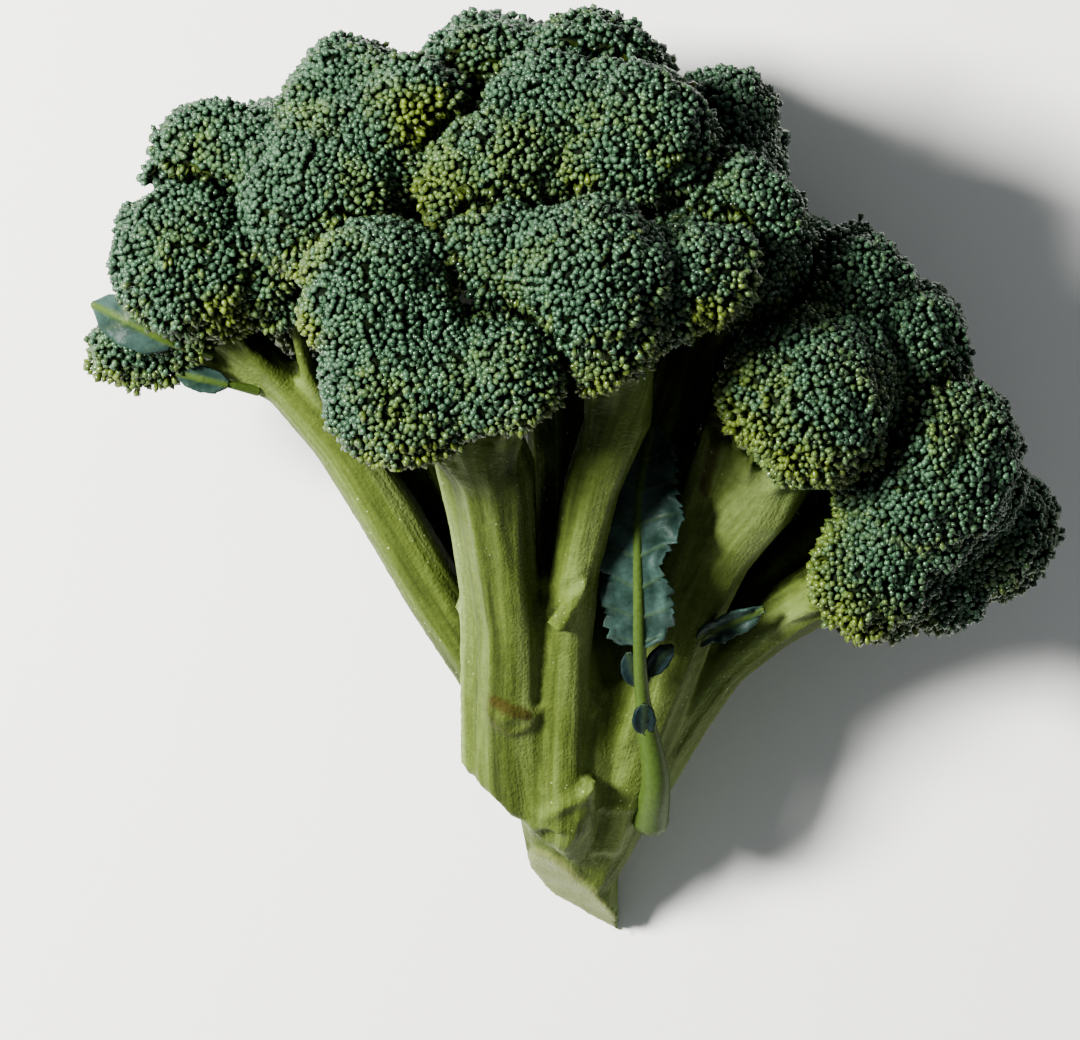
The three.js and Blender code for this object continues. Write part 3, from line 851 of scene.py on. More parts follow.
@dataclass
class Stalk:
    """The cut trunk with its branches, ribbed along their length.

    A streak or rib is a share of broad and fine noise, a streak also takes its stem's paleness, and each stem's
    pattern fades out over a short way where stems merge. Streaks are darkened as painted shade where the stalk sees
    little of the sky. The cut face is what lies beyond cut_point along cut_normal, between cut_corner and cut_rim.
    """

    voxel: float = 1.08 * MM
    smoothing: int = 3
    rib_height: float = 0.75 * MM
    rib_middle: float = 0.6
    # Painted shade: how much darker the streaks get where the stalk sees little of the sky
    shade: float = 0.6
    broad_streaks: float = 0.42
    fine_streaks: float = 0.16
    ridge_sharpness: float = 2.2
    stem_fade: float = 8.0
    least_weight: float = 0.02
    twigs: int = 10
    twig_radius: float = 1.9 * MM
    twig_lean: tuple[float, float] = (88, 128)
    twig_sink_mm: float = 2.5
    cut_point: Vector = field(default_factory=lambda: drawn(-3.6, -94.5, 12))
    cut_normal: Vector = field(default_factory=lambda: Vector((-0.47, -0.84, 0.27)).normalized())
    cut_corner: Vector = field(default_factory=lambda: drawn(8, -101, 11))
    cut_along: tuple[float, float, float] = (-0.73, 0.68, 0)
    cut_length: float = 27 * MM
    cut_rim: Vector = field(default_factory=lambda: drawn(-9.5, -83.6, 0))
    cut_outward: tuple[float, float, float] = (-0.59, -0.806, 0)

    def skin(self, places: np.ndarray) -> tuple[np.ndarray, np.ndarray, np.ndarray]:
        """Works out the streaks and ribs that run along each stem.

        Args:
            places: Points on the surface of the stalk.

        Returns:
            Streaks from 0, dark, to 1, pale, with painted shade on the deep stems; ribs from -1 to 1; and the
            coordinates of the grain.
        """
        streaks_and_painted_shade, ribs = np.zeros(len(places)), np.zeros(len(places))
        weights = np.full(len(places), self.least_weight)
        grain = np.zeros((len(places), 3))
        nearest = np.full(len(places), np.inf)
        for order, stem in enumerate(STEMS.values()):
            line = stem.line()
            shares = np.linspace(0, 1, 60)
            middles = np.array([line.at(share) for share in shares])
            widths = np.interp(shares, np.linspace(0, 1, len(stem.radii)), stem.radii) * MM
            gaps = np.linalg.norm(places[:, None, :] - middles[None, :, :], axis=2)
            station = gaps.argmin(axis=1)
            reach = gaps[np.arange(len(places)), station] / widths[station]
            tangents = np.array([line.tangent(share) for share in shares])
            upward = np.array([0.0, 0.0, 1.0]) - tangents * tangents[:, 2:3]
            upward /= np.linalg.norm(upward, axis=1)[:, None]
            sideways = np.cross(tangents, upward)
            away = places - middles[station]
            along = shares[station] * line.length + (away * tangents[station]).sum(axis=1)
            up, side = ((away * way[station]).sum(axis=1) for way in (upward, sideways))
            angle = np.arctan2(side, up)
            weight = np.exp(-self.stem_fade * np.clip(reach - 0.9, 0, 3))
            around = np.stack([np.cos(angle), np.sin(angle)], axis=1)
            for index in np.flatnonzero(weight > self.least_weight):
                c, s = around[index]
                far = along[index]
                broad = noise.noise(Vector((1.1 * c + 9 * order, 1.1 * s, far * 22)))
                fine = noise.noise(Vector((3.6 * c + 5 * order, 3.6 * s + 3, far * 9)))
                streak_and_painted_shade = self.broad_streaks * broad + self.fine_streaks * fine + stem.paleness_and_painted_shade
                streaks_and_painted_shade[index] += weight[index] * streak_and_painted_shade
                fold = abs(noise.noise(Vector((1.7 * c, 1.7 * s + order, far * 7))))
                ribs[index] += weight[index] * (1 - self.ridge_sharpness * fold)
            weights += weight
            closer = reach < nearest
            nearest[closer] = reach[closer]
            radius = widths[station][closer][:, None]
            grain[closer] = np.hstack([around[closer] * radius, (0.06 * along + order * 0.05)[closer][:, None]])
        return np.clip(0.5 + streaks_and_painted_shade / weights, 0, 1), ribs / weights, grain

    def cut_face(self, places: np.ndarray, outward: np.ndarray) -> np.ndarray:
        """Finds the cut face of the trunk.

        Args:
            places: Points on the surface of the stalk.
            outward: Outward directions there.

        Returns:
            A share from 0, skin, to 1, cut, for each point.
        """
        beyond = (places - np.array(self.cut_point)) @ np.array(self.cut_normal)
        facing = outward @ np.array(self.cut_normal)
        along = (places - np.array(self.cut_corner)) @ np.array(self.cut_along)
        past_rim = (places - np.array(self.cut_rim)) @ np.array(self.cut_outward)
        cut = smoothstep(beyond, -1.3 * MM, -0.5 * MM) * smoothstep(facing, 0.5, 0.85)
        cut *= 1 - smoothstep(along, self.cut_length, self.cut_length + 2 * MM)
        return cut * smoothstep(past_rim, -0.8 * MM, 0.4 * MM)

    def scars(self, places: np.ndarray, lines: dict[str, Line]) -> np.ndarray:
        """Finds the brown scars.

        Args:
            places: Points on the surface of the stalk.
            lines: The line of each welt.

        Returns:
            A share from 0, sound, to 1, scarred, for each point.
        """
        scar = np.zeros(len(places))
        for name, line in lines.items():
            if WELTS[name].scarred:
                gaps = np.linalg.norm(places[:, None, :] - line.samples[None, ::6, :], axis=2).min(axis=1)
                scar = np.maximum(scar, WELTS[name].scarred * (1 - smoothstep(gaps, 1.0 * MM, 2.2 * MM)))
        return scar

    def add_twigs(self, shape: bmesh.types.BMesh, crown: list["Floret"]) -> None:
        """Adds the twigs that fan out from the tip of each branch to the rim of its floret.

        Args:
            shape: What the twigs are added to.
            crown: The florets, with their flesh.
        """
        for floret in crown:
            draw = np.random.default_rng(SEED + TWIG_SEED + floret.seed)
            surface = surface_tree([floret.flesh])
            line = STEMS[floret.branch].line()
            way = (floret.middle - floret.tip).normalized()
            turn = way.to_track_quat("Z", "Y")
            for twig in range(self.twigs):
                lean = math.radians(draw.uniform(*self.twig_lean))
                spin = 2 * math.pi * (twig + draw.uniform(-0.3, 0.3)) / self.twigs
                out = turn @ tilted(lean, spin)
                hit = surface.ray_cast(floret.middle + out * 40 * MM, -out)[0]
                if hit is None:
                    continue
                end = hit - out * self.twig_sink_mm * MM
                root = line.at(draw.uniform(0.66, 0.84))
                knee = root.lerp(end, 0.45) + line.tangent(0.85) * 0.12 * (end - root).length
                radius = self.twig_radius * draw.uniform(0.75, 1.2)
                add_tube(shape, Line([root, knee, end], 8), [1.3 * radius, radius, 0.75 * radius], 8, 12)

    def add_welts(self, shape: bmesh.types.BMesh, surface: BVHTree) -> dict[str, Line]:
        """Adds the raised lines of scars and scales, laid on the skin.

        Args:
            shape: What they are added to.
            surface: The stalk before.

        Returns:
            The line of each.
        """
        lines = {}
        for name, welt in WELTS.items():
            points = []
            for x, y, height in welt.points:
                hit = surface.ray_cast(drawn(x, y, ABOVE_ALL), Vector((0, 0, -1)))[0]
                points.append(hit + Vector((0, 0, (height - WELT_SINK) * MM)))
            lines[name] = Line(points)
            add_tube(shape, lines[name], [radius * MM for radius in welt.radii], 8, 24)
        return lines

    def build(self, material: bpy.types.Material, crown: list["Floret"]) -> bpy.types.Object:
        """Builds the stalk from its node and dresses it.

        Args:
            material: The skin of the stalk.
            crown: The florets, with their flesh.

        Returns:
            The finished piece.
        """
        piece = merged_copy("stalk_skin", "stalk")
        surface = surface_tree([piece])
        shape = bmesh.new()
        shape.from_mesh(piece.data)
        self.add_twigs(shape, crown)
        lines = self.add_welts(shape, surface)
        shape.to_mesh(piece.data)
        shape.free()
        remesh(piece, self.voxel, self.smoothing)
        mesh = piece.data
        places, outward = positions(mesh), normals(mesh)
        streaks_and_painted_shade, ribs, grain = self.skin(places)
        seen = openness(places, outward, surface_tree([piece, *[floret.flesh for floret in crown]]))
        # Painted shade: streaks are darkened where the stalk sees little of the sky
        streaks_and_painted_shade = np.clip(streaks_and_painted_shade - self.shade * (1 - smoothstep(seen, 0.2, 0.75)), 0, 1)
        cut, scar = self.cut_face(places, outward), self.scars(places, lines)
        places += outward * (self.rib_height * (1 - cut) * (ribs - self.rib_middle))[:, None]
        low, high = (np.array(corner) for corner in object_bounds())
        move_vertices(mesh, np.clip(places, low + MARGIN, high - MARGIN))
        keep_attribute(mesh, "skin", np.stack([streaks_and_painted_shade, cut, scar], axis=1))
        keep_attribute(mesh, "grain", grain)
        show(piece, "stalk", material)
        return piece


@dataclass
class Bud:
    """One flower bud, widest at its shoulder and a little uneven, with its foot at the origin."""

    width: float = 1.8 * MM
    height: float = 2.5 * MM
    shoulder: float = 0.74
    bulges: tuple[float, ...] = (1.0, 0.88, 1.07, 0.92, 1.04, 0.86)

    def build(self) -> bpy.types.Object:
        """Makes the bud that the florets repeat.

        Returns:
            The bud, which isn't linked to the scene.
        """
        shape = bmesh.new()
        level = shape.verts.layers.float_vector.new("bud")
        ring = bmesh.ops.create_circle(shape, segments=len(self.bulges), radius=self.width / 2)["verts"]
        for vertex, bulge in zip(ring, self.bulges):
            vertex.co = Vector((vertex.co.x * bulge, vertex.co.y * bulge, self.shoulder * self.height * bulge))
        edges = list(shape.edges)
        for end in (0.0, self.height):
            grown = bmesh.ops.extrude_edge_only(shape, edges=edges)["geom"]
            verts = [part for part in grown if isinstance(part, bmesh.types.BMVert)]
            bmesh.ops.pointmerge(shape, verts=verts, merge_co=Vector((0, 0, end)))
        bmesh.ops.recalc_face_normals(shape, faces=shape.faces)
        for vertex in shape.verts:
            vertex[level] = Vector((vertex.co.z / self.height, 0, 0))
        mesh = bpy.data.meshes.new("bud")
        shape.to_mesh(mesh)
        shape.free()
        return bpy.data.objects.new("bud", mesh)


class BudPlanter:
    """Sets a copy of a bud on each point of a mesh, turned and stretched as the point says."""

    def __init__(self, bud: bpy.types.Object) -> None:
        """Builds the geometry nodes.

        Args:
            bud: The bud that is repeated.
        """
        self.group = bpy.data.node_groups.new("planted_buds", "GeometryNodeTree")
        self.group.interface.new_socket(name="Geometry", in_out="INPUT", socket_type="NodeSocketGeometry")
        self.group.interface.new_socket(name="Geometry", in_out="OUTPUT", socket_type="NodeSocketGeometry")
        graph = Graph(self.group)
        given = graph.add("NodeGroupInput")
        shape = graph.add("GeometryNodeObjectInfo")
        shape.inputs["Object"].default_value = bud
        planted = graph.add("GeometryNodeInstanceOnPoints")
        graph.feed(planted.inputs["Points"], given.outputs[0])
        graph.feed(planted.inputs["Instance"], shape.outputs["Geometry"])
        for name, socket in (("turn", "Rotation"), ("size", "Scale")):
            source = graph.add("GeometryNodeInputNamedAttribute", data_type="FLOAT_VECTOR")
            source.inputs["Name"].default_value = name
            graph.feed(planted.inputs[socket], source.outputs["Attribute"])
        solid = graph.add("GeometryNodeRealizeInstances", planted.outputs[0])
        graph.add("NodeGroupOutput", solid.outputs[0])

    def plant(self, name: str, buds: "BudBed") -> bpy.types.Object:
        """Makes one piece of all the buds of a floret.

        Args:
            name: Name of the piece.
            buds: Where the buds stand, and how.

        Returns:
            The piece.
        """
        shape = bmesh.new()
        for place in buds.places:
            shape.verts.new(place)
        piece = new_piece(name, shape)
        keep_attribute(piece.data, "turn", buds.turns)
        keep_attribute(piece.data, "size", buds.sizes)
        keep_attribute(piece.data, "tone", buds.tones)
        planting = piece.modifiers.new("planting", "NODES")
        planting.node_group = self.group
        finish_modifiers(piece)
        return piece


@dataclass
class BudBed:
    """Where the buds of a floret stand: a place, a turn, a size and a tone for each."""

    places: np.ndarray
    turns: np.ndarray
    sizes: np.ndarray
    tones: np.ndarray


class Pattern(Enum):
    """Seeds that keep the random patterns of a floret apart."""

    YELLOW = 0.3
    CREASES = 0.6
    SMALL_BUMPS = 2.2
    CLUSTERS = 3.1
    WARP = 4.4
    OPENING = 5.1
    LIGHT = 7.7
    LARGE_BUMPS = 8.3


@dataclass
class Floret:
    """The crown of flower buds on one branch.

    Its lobes are drawn in millimetres as x, y, z, radius and, where they are tinted, how yellow they are.
    """

    name: str
    branch: str
    lobes: tuple[tuple[float, ...], ...]
    seed: int
    coarseness: float = 1.0
    bud_spacing_mm: float = 0.94
    voxel: float = 1.8 * MM
    smoothing: int = 2
    sink: float = 0.7 * MM
    crease_size: float = 25 * MM
    cluster_size: float = 10 * MM
    crease_depth: float = 3.0 * MM
    lean: float = 0.2
    droop: float = 0.35
    bury_mm: float = 0.55
    flesh: bpy.types.Object | None = None

    @property
    def spacing(self) -> float:
        """How far apart the buds are sown, in metres."""
        return self.bud_spacing_mm * MM * self.coarseness

    @property
    def node(self) -> str:
        """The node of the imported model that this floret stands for."""
        return "floret_" + self.name

    @property
    def tip(self) -> Vector:
        """The tip of the branch that carries it."""
        return drawn(*STEMS[self.branch].path[-1])

    @property
    def middle(self) -> Vector:
        """The middle of its lobes."""
        return sum((drawn(*lobe[:3]) for lobe in self.lobes), Vector()) / len(self.lobes)

    @property
    def crown_way(self) -> np.ndarray:
        """The direction from the tip of the branch to the middle of the crown."""
        return np.array((self.middle - self.tip).normalized())

    def clouds(self, places: np.ndarray, size: float, pattern: Pattern) -> np.ndarray:
        """Smooth random values on this floret, from about -1 to 1."""
        return clouds(places, size, self.seed + pattern.value)

    def folds(self, places: np.ndarray, size: float, pattern: Pattern, width: float) -> np.ndarray:
        """Narrow folds on this floret, 1 in the folds and 0 between."""
        return folds(places, size, self.seed + pattern.value, width)

    @staticmethod
    def underside(facing: np.ndarray) -> np.ndarray:
        """How much each point belongs to the underside, from how far it faces the way of the crown."""
        return 1 - smoothstep(facing, -0.55, 0.15)

    def nearest_lobes(self, places: np.ndarray) -> tuple[np.ndarray, np.ndarray]:
        """Finds how near each point is to the line where two lobes meet, and how yellow its lobe is.

        Args:
            places: Points on the floret.

        Returns:
            How much farther the second lobe is than the first, as a share of their radii; and the tint.
        """
        ratios = np.stack(
            [np.linalg.norm(places - np.array(drawn(*lobe[:3])), axis=1) / (lobe[3] * MM) for lobe in self.lobes]
        )
        tints = np.array([lobe[4] if len(lobe) > 4 else 0.0 for lobe in self.lobes])
        order = np.sort(ratios, axis=0)
        shares = np.exp(-14 * (ratios - order[0]))
        tint = (shares * tints[:, None]).sum(axis=0) / shares.sum(axis=0)
        return (order[1] - order[0] if len(self.lobes) > 1 else np.ones(len(places))), tint

    def yellow_spots(self, places: np.ndarray) -> np.ndarray:
        """Finds the yellow spots on the front of the crown.

        Args:
            places: Points on the floret.

        Returns:
            How much yellower each point is.
        """
        yellow = np.zeros(len(places))
        if not self.name.startswith("back"):
            for x, y, radius, strength in YELLOW_SPOTS:
                away = np.linalg.norm(places[:, :2] - np.array(drawn(x, y, 0))[:2], axis=1)
                yellow = np.maximum(yellow, strength * (1 - smoothstep(away, 0.5 * radius * MM, radius * MM)))
        return yellow

    def build_flesh(self) -> None:
        """Builds the mass that the buds stand on, a little inside the node's surface."""
        self.flesh = merged_copy(self.node + "_flesh", self.node)
        remesh(self.flesh, self.voxel, self.smoothing)
        mesh = self.flesh.data
        places = positions(mesh)
        warped = places + 1.2 * MM * clouds(places, 6 * MM, Pattern.WARP.value)[:, None]
        parting, _ = self.nearest_lobes(warped)
        opened = 0.25 + 0.9 * smoothstep(self.clouds(places, 26 * MM, Pattern.OPENING), -0.3, 0.3)
        crease = opened * (1 - smoothstep(parting, 0.0, 0.15))
        crease = np.maximum(crease, 0.8 * self.folds(warped, self.crease_size, Pattern.CREASES, 0.2))
        crease = np.maximum(crease, 0.58 * self.folds(warped, self.cluster_size, Pattern.CLUSTERS, 0.3))
        bumps = 0.3 * self.clouds(places, 7 * MM, Pattern.SMALL_BUMPS)
        bumps += 1.1 * self.clouds(places, 17 * MM, Pattern.LARGE_BUMPS)
        depth = self.sink + self.crease_depth * crease + (1.1 + bumps) * MM
        places -= normals(mesh) * depth[:, None]
        places[:, 2] = np.maximum(places[:, 2], MARGIN)
        move_vertices(mesh, places)

    def scattered(self, draw: np.random.Generator) -> tuple[np.ndarray, np.ndarray]:
        """Spreads points evenly apart over the flesh.

        Args:
            draw: Seeded random numbers.

        Returns:
            The points and the outward directions there.
        """
        mesh = self.flesh.data
        mesh.calc_loop_triangles()
        corners = np.zeros(len(mesh.loop_triangles) * 3, np.int32)
        mesh.loop_triangles.foreach_get("vertices", corners)
        corners = corners.reshape(-1, 3)
        vertices = positions(mesh)
        a, b, c = (vertices[corners[:, k]] for k in range(3))
        areas = np.linalg.norm(np.cross(b - a, c - a), axis=1) / 2
        count = int(TRIES_A_BUD * areas.sum() / self.spacing**2)
        picked = draw.choice(len(areas), count, p=areas / areas.sum())
        u, v = np.sqrt(draw.random(count)), draw.random(count)
        shares = np.stack([1 - u, u * (1 - v), u * v], axis=1)[:, :, None]
        tries = (vertices[corners[picked]] * shares).sum(axis=1)
        cells: dict[tuple[int, int, int], list[int]] = {}
        kept = []
        keys = np.floor(tries / self.spacing).astype(int)
        least = self.spacing**2
        points = tries.tolist()
        for index, (i, j, k) in enumerate(keys.tolist()):
            x, y, z = points[index]
            if any(
                (x - points[other][0]) ** 2 + (y - points[other][1]) ** 2 + (z - points[other][2]) ** 2 < least
                for di in (-1, 0, 1)
                for dj in (-1, 0, 1)
                for dk in (-1, 0, 1)
                for other in cells.get((i + di, j + dj, k + dk), ())
            ):
                continue
            cells.setdefault((i, j, k), []).append(index)
            kept.append(index)
        return self.evened(tries[kept])

    def evened(self, places: np.ndarray, rounds: int = 5) -> tuple[np.ndarray, np.ndarray]:
        """Pushes points apart over the flesh until they are packed evenly.

        Args:
            places: The points.
            rounds: How often they are moved.

        Returns:
            The points and the outward directions there.
        """
        surface = surface_tree([self.flesh])
        reach, push_share = 1.45 * self.spacing, 0.22
        points = [Vector(place) for place in places]
        for _ in range(rounds):
            tree = KDTree(len(points))
            for index, point in enumerate(points):
                tree.insert(point, index)
            tree.balance()
            found = []
            for point in points:
                push = Vector()
                for other, _, gap in tree.find_range(point, reach):
                    if gap > 1e-9:
                        push += (point - other) * ((reach - gap) / gap)
                found.append(surface.find_nearest(point + push_share * push))
            points = [place for place, _, _, _ in found]
        ways = np.array([way for _, way, _, _ in found])
        return np.array(points), ways

    def bed(self, around: BVHTree) -> BudBed:
        """Decides where each bud stands and how it looks.

        Args:
            around: The surfaces of the whole head.

        Returns:
            The buds of this floret.
        """
        draw = np.random.default_rng(SEED + self.seed)
        places, ways = self.scattered(draw)
        seen = openness(places, ways, around)
        shown = (seen > 0.10) & (places[:, 2] > 0.6 * MM)
        places, ways, seen = places[shown], ways[shown], seen[shown]
        count = len(places)
        facing = ways @ self.crown_way
        under = self.underside(facing)
        patches = self.clouds(places, 13 * MM, Pattern.YELLOW)
        _, tint = self.nearest_lobes(places)
        tint += self.yellow_spots(places)
        yellow = 0.42 * under * smoothstep(seen, 0.2, 0.45) + 0.5 * patches - 0.08 + tint
        yellow = np.clip(yellow + draw.normal(0, 0.12, count), 0, 0.85)
        light = 1 + 0.3 * self.clouds(places, 5 * MM, Pattern.LIGHT) + draw.normal(0, 0.15, count)
        # Painted shade: buds that see little of the sky are made darker
        light = np.clip(light * (0.6 + 0.4 * smoothstep(seen, 0.3, 0.7)), 0.35, 1.8)
        long = 1 + 0.5 * under + 0.2 * (1 - smoothstep(seen, 0.35, 0.6))
        wide = draw.uniform(0.8, 1.18, count) * (1 - 0.1 * under)
        deep, tall = wide * draw.uniform(0.8, 1.15, count), long * draw.uniform(0.75, 1.15, count)
        sizes = np.stack([wide, deep, tall], axis=1) * self.coarseness
        droop = self.droop * under[:, None] * (ways - self.crown_way * facing[:, None])
        leaning = ways + draw.normal(0, self.lean, (count, 3)) + droop
        turns = np.zeros((count, 3))
        for index, way in enumerate(leaning):
            spin = Matrix.Rotation(draw.uniform(0, 6.28), 3, "Z").to_quaternion()
            turns[index] = (Vector(way).to_track_quat("Z", "Y") @ spin).to_euler()
        tones = np.stack([yellow, light, np.ones(count)], axis=1)
        return BudBed(places - ways * self.bury_mm * MM, turns, sizes, tones)

    def dress(
        self,
        around: BVHTree,
        planter: BudPlanter,
        bud_skin: bpy.types.Material,
        flesh_skin: bpy.types.Material,
    ) -> None:
        """Plants the buds and dresses both pieces of the floret.

        Args:
            around: The surfaces of the whole head.
            planter: Makes the buds.
            bud_skin: The material of the buds.
            flesh_skin: The material of what shows between them.
        """
        buds = planter.plant(self.node + "_buds", self.bed(around))
        low, high = (np.array(corner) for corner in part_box(self.node))
        move_vertices(buds.data, np.clip(positions(buds.data), low + MARGIN, high - MARGIN))
        mesh = self.flesh.data
        under = self.underside(normals(mesh) @ self.crown_way)
        plain = np.ones(len(mesh.vertices))
        keep_attribute(mesh, "tone", np.stack([0.8 * under, plain, plain], axis=1))
        show(self.flesh, self.node, flesh_skin)
        show(buds, self.node, bud_skin)


# Spots where the buds are yellower, as x, y, radius and strength, drawn in millimetres as seen from above
YELLOW_SPOTS: tuple[tuple[float, float, float, float], ...] = (
    *((-57, 44, 7, 0.45), (-59, 27, 7, 0.85), (-79, 31, 9, 0.4), (-54, 74, 7, 0.35)),
    *((-33, 76, 8, 0.65), (-21, 59, 12, 0.2), (6, 20, 7, 0.4), (-38, 4, 11, 0.35)),
    *((38, 14, 13, 0.35), (50, -2, 11, 0.3), (65, -35, 11, 0.35), (28, 31, 6, 0.6)),
    (1, 66, 7, 0.3),
)

# Florets: the branch that carries each, and its lobes as x, y, z, radius and how yellow it is
FLORETS: dict[str, tuple[str, tuple[tuple[float, ...], ...]]] = {
    "front_left": ("front_left", ((-43, 36, 124, 18), (-38, 15, 124, 17, 0.06), (-15, 17, 128, 14.5, 0.2))),
    "front_right": (
        "front_right",
        ((3, 40, 132, 18), (-17, 44, 124, 13, 0.12), (7, 24, 126, 12, 0.25), (27, 39, 120, 15, 0.1)),
    ),
    "middle": ("top", ((-19, 60, 108, 16, 0.3), (-7, 76, 102, 14), (14, 72, 106, 17))),
    "left": ("left", ((-86, 45, 84, 17.5), (-95.5, 25, 62, 13.5, 0.1), (-68, 43, 78, 15, 0.1))),
    "upper_left": (
        "upper_left",
        ((-79, 65, 76, 16.5), (-54, 55, 98, 19.5), (-50, 80, 82, 15), (-36, 78, 98, 13, 0.1)),
    ),
    "top": ("top", ((-20, 86, 82, 14), (3, 84, 84, 17))),
    "upper_right": ("upper_right", ((32, 73, 82, 15.5), (35, 50, 100, 18), (38, 36, 84, 14, 0.15))),
    "right": ("right_upper", ((50, 12, 100, 21, 0.15), (60, 38, 86, 15), (71, 25, 80, 17.5))),
    "right_low": (
        "right_lower",
        ((78, -0.5, 84, 21.5), (94, -15, 64, 15), (64, -26, 76, 16, 0.15), (79, -27, 62, 13, 0.1)),
    ),
    "back_left": (
        "back_left",
        ((-66, 62, 42, 19), (-82, 42, 42, 15), (-56, 46, 17, 18), (-38, 70, 19.5, 19), (-46, 14, 36, 17)),
    ),
    "back_top": ("back", ((-18, 84, 52, 17), (-6, 72, 20, 18), (6, 81, 44, 18), (-2, 42, 34, 18), (-4, 12, 34, 16.5))),
    "back_right": (
        "back_right",
        (
            *((30, 66, 46, 18), (24, 64, 17.5, 18), (48, 38, 17.5, 18)),
            *((70, 22, 40, 18), (38, 12, 38, 17), (56, -8, 34, 16)),
        ),
    ),
}


Point = tuple[float, float, float]


@dataclass
class Leaf:
    """A small leaf: a round stem that runs into the midrib of a crinkled blade with a cut edge.

    Its midrib and the radii of its stem are drawn in millimetres. The blade starts at a share of the midrib's
    length, and its edge is half_width times the left and the right number at each station along it.
    """

    midrib: tuple[Point, ...]
    stem: tuple[float, ...]
    face: Point
    start: float
    half_width: float
    fold: float
    ripple: float
    waves: int = 0
    edge: tuple[Point, ...] = ((0, 0.3, 0.3), (0.2, 0.85, 0.8), (0.5, 1, 1), (0.8, 0.8, 0.75), (1, 0.1, 0.1))
    teeth: float = 0.0
    rows_a_tooth: float = 6.7
    # How far the leaf is darkened by painted shade
    painted_leaf_shade: float = 0.0
    rows: int = 70
    columns: int = 28
    thickness: float = 0.7 * MM
    least_half: float = 0.6 * MM
    rib_lift: float = 0.5 * MM
    vein_lift: float = 0.35 * MM

    def frame(self, line: Line, share: float) -> tuple[Vector, Vector]:
        """Finds which way the leaf faces at a place on its midrib.

        Args:
            line: The midrib.
            share: The place, as a share of its length.

        Returns:
            The sideways and the upward direction.
        """
        tangent = line.tangent(share)
        sideways = tangent.cross(Vector(self.face)).normalized()
        return sideways, sideways.cross(tangent)

    def blade(self, line: Line, shape: bmesh.types.BMesh) -> None:
        """Adds the blade.

        Args:
            line: The midrib.
            shape: What the blade is added to.
        """
        layer = shape.verts.layers.float_vector["leaf"]
        grid = bmesh.ops.create_grid(shape, x_segments=self.columns, y_segments=self.rows, size=1.0)
        stations, left, right = zip(*self.edge)
        for vertex in grid["verts"]:
            across, along = vertex.co.x, (vertex.co.y + 1) / 2
            share = self.start + (1 - self.start) * along
            sideways, upward = self.frame(line, share)
            far = abs(across)
            outline = float(np.interp(along, stations, left if across < 0 else right))
            jitter = noise.noise(Vector((along * 9, math.copysign(3, across), 0)))
            tooth = (along * self.rows / self.rows_a_tooth + 1.2 * jitter) % 1.0 * (0.7 + 0.9 * jitter)
            half = max(self.least_half, self.half_width * outline * (1 - self.teeth * far**3 * tooth))
            wave = math.sin(2 * math.pi * (self.waves + 1) * along + across) * across**2
            crinkle = noise.noise(Vector((across * 3.5, along * 9, self.waves))) * far * 0.9
            side_rib = abs(((along * (self.waves + 2) - far * 0.55) % 1.0) - 0.5) * 2
            vein = max(0.0, 1 - (1 - side_rib) * 7) * (1 - far) ** 0.5
            middle = max(0.0, 1 - far * half / (1.0 * MM))
            lift = far * half * self.fold + (wave + crinkle) * self.ripple
            lift += middle * self.rib_lift + vein * self.vein_lift
            vertex.co = line.at(share) + sideways * across * half + upward * lift
            vertex[layer] = Vector((min(1.0, middle * 1.3 + 0.5 * vein), far**4, self.painted_leaf_shade))

    def stalk(self, line: Line, shape: bmesh.types.BMesh) -> None:
        """Adds the stem and the raised midrib, as one tube that thins towards the tip.

        Args:
            line: The midrib.
            shape: What the tube is added to.
        """
        layer = shape.verts.layers.float_vector["leaf"]
        grid = bmesh.ops.create_grid(shape, x_segments=10, y_segments=60, size=1.0)
        radii = [*self.stem, self.stem[-1] * 0.75, self.stem[-1] * 0.35]
        reach = self.start + (1 - self.start) * 0.9
        for vertex in grid["verts"]:
            turn, along = math.pi * vertex.co.x, (vertex.co.y + 1) / 2
            share = along * reach
            sideways, upward = self.frame(line, share)
            radius = float(np.interp(along, np.linspace(0, 1, len(radii)), radii)) * MM
            vertex.co = line.at(share) + (sideways * math.sin(turn) + upward * math.cos(turn)) * radius
            vertex[layer] = Vector((1, 0, 0))
        bmesh.ops.remove_doubles(shape, verts=shape.verts, dist=1e-5)
        bmesh.ops.holes_fill(shape, edges=shape.edges, sides=0)

    def build(self) -> bpy.types.Mesh:
        """Builds the blade and the stem of the leaf.

        Returns:
            The leaf's shape.
        """
        line = Line([drawn(*point) for point in self.midrib])
        shape = bmesh.new()
        shape.verts.layers.float_vector.new("leaf")
        self.blade(line, shape)
        bmesh.ops.recalc_face_normals(shape, faces=shape.faces)
        sheet = new_piece("sheet", shape)
        wall = sheet.modifiers.new("wall", "SOLIDIFY")
        wall.thickness, wall.offset = self.thickness, 0.0
        finish_modifiers(sheet)
        stem = bmesh.new()
        stem.verts.layers.float_vector.new("leaf")
        self.stalk(line, stem)
        mesh = bpy.data.meshes.new("stem")
        stem.to_mesh(mesh)
        stem.free()
        shape = bmesh.new()
        shape.from_mesh(sheet.data)
        shape.from_mesh(mesh)
        bpy.data.objects.remove(sheet)
        bmesh.ops.recalc_face_normals(shape, faces=shape.faces)
        shape.to_mesh(mesh)
        shape.free()
        return mesh


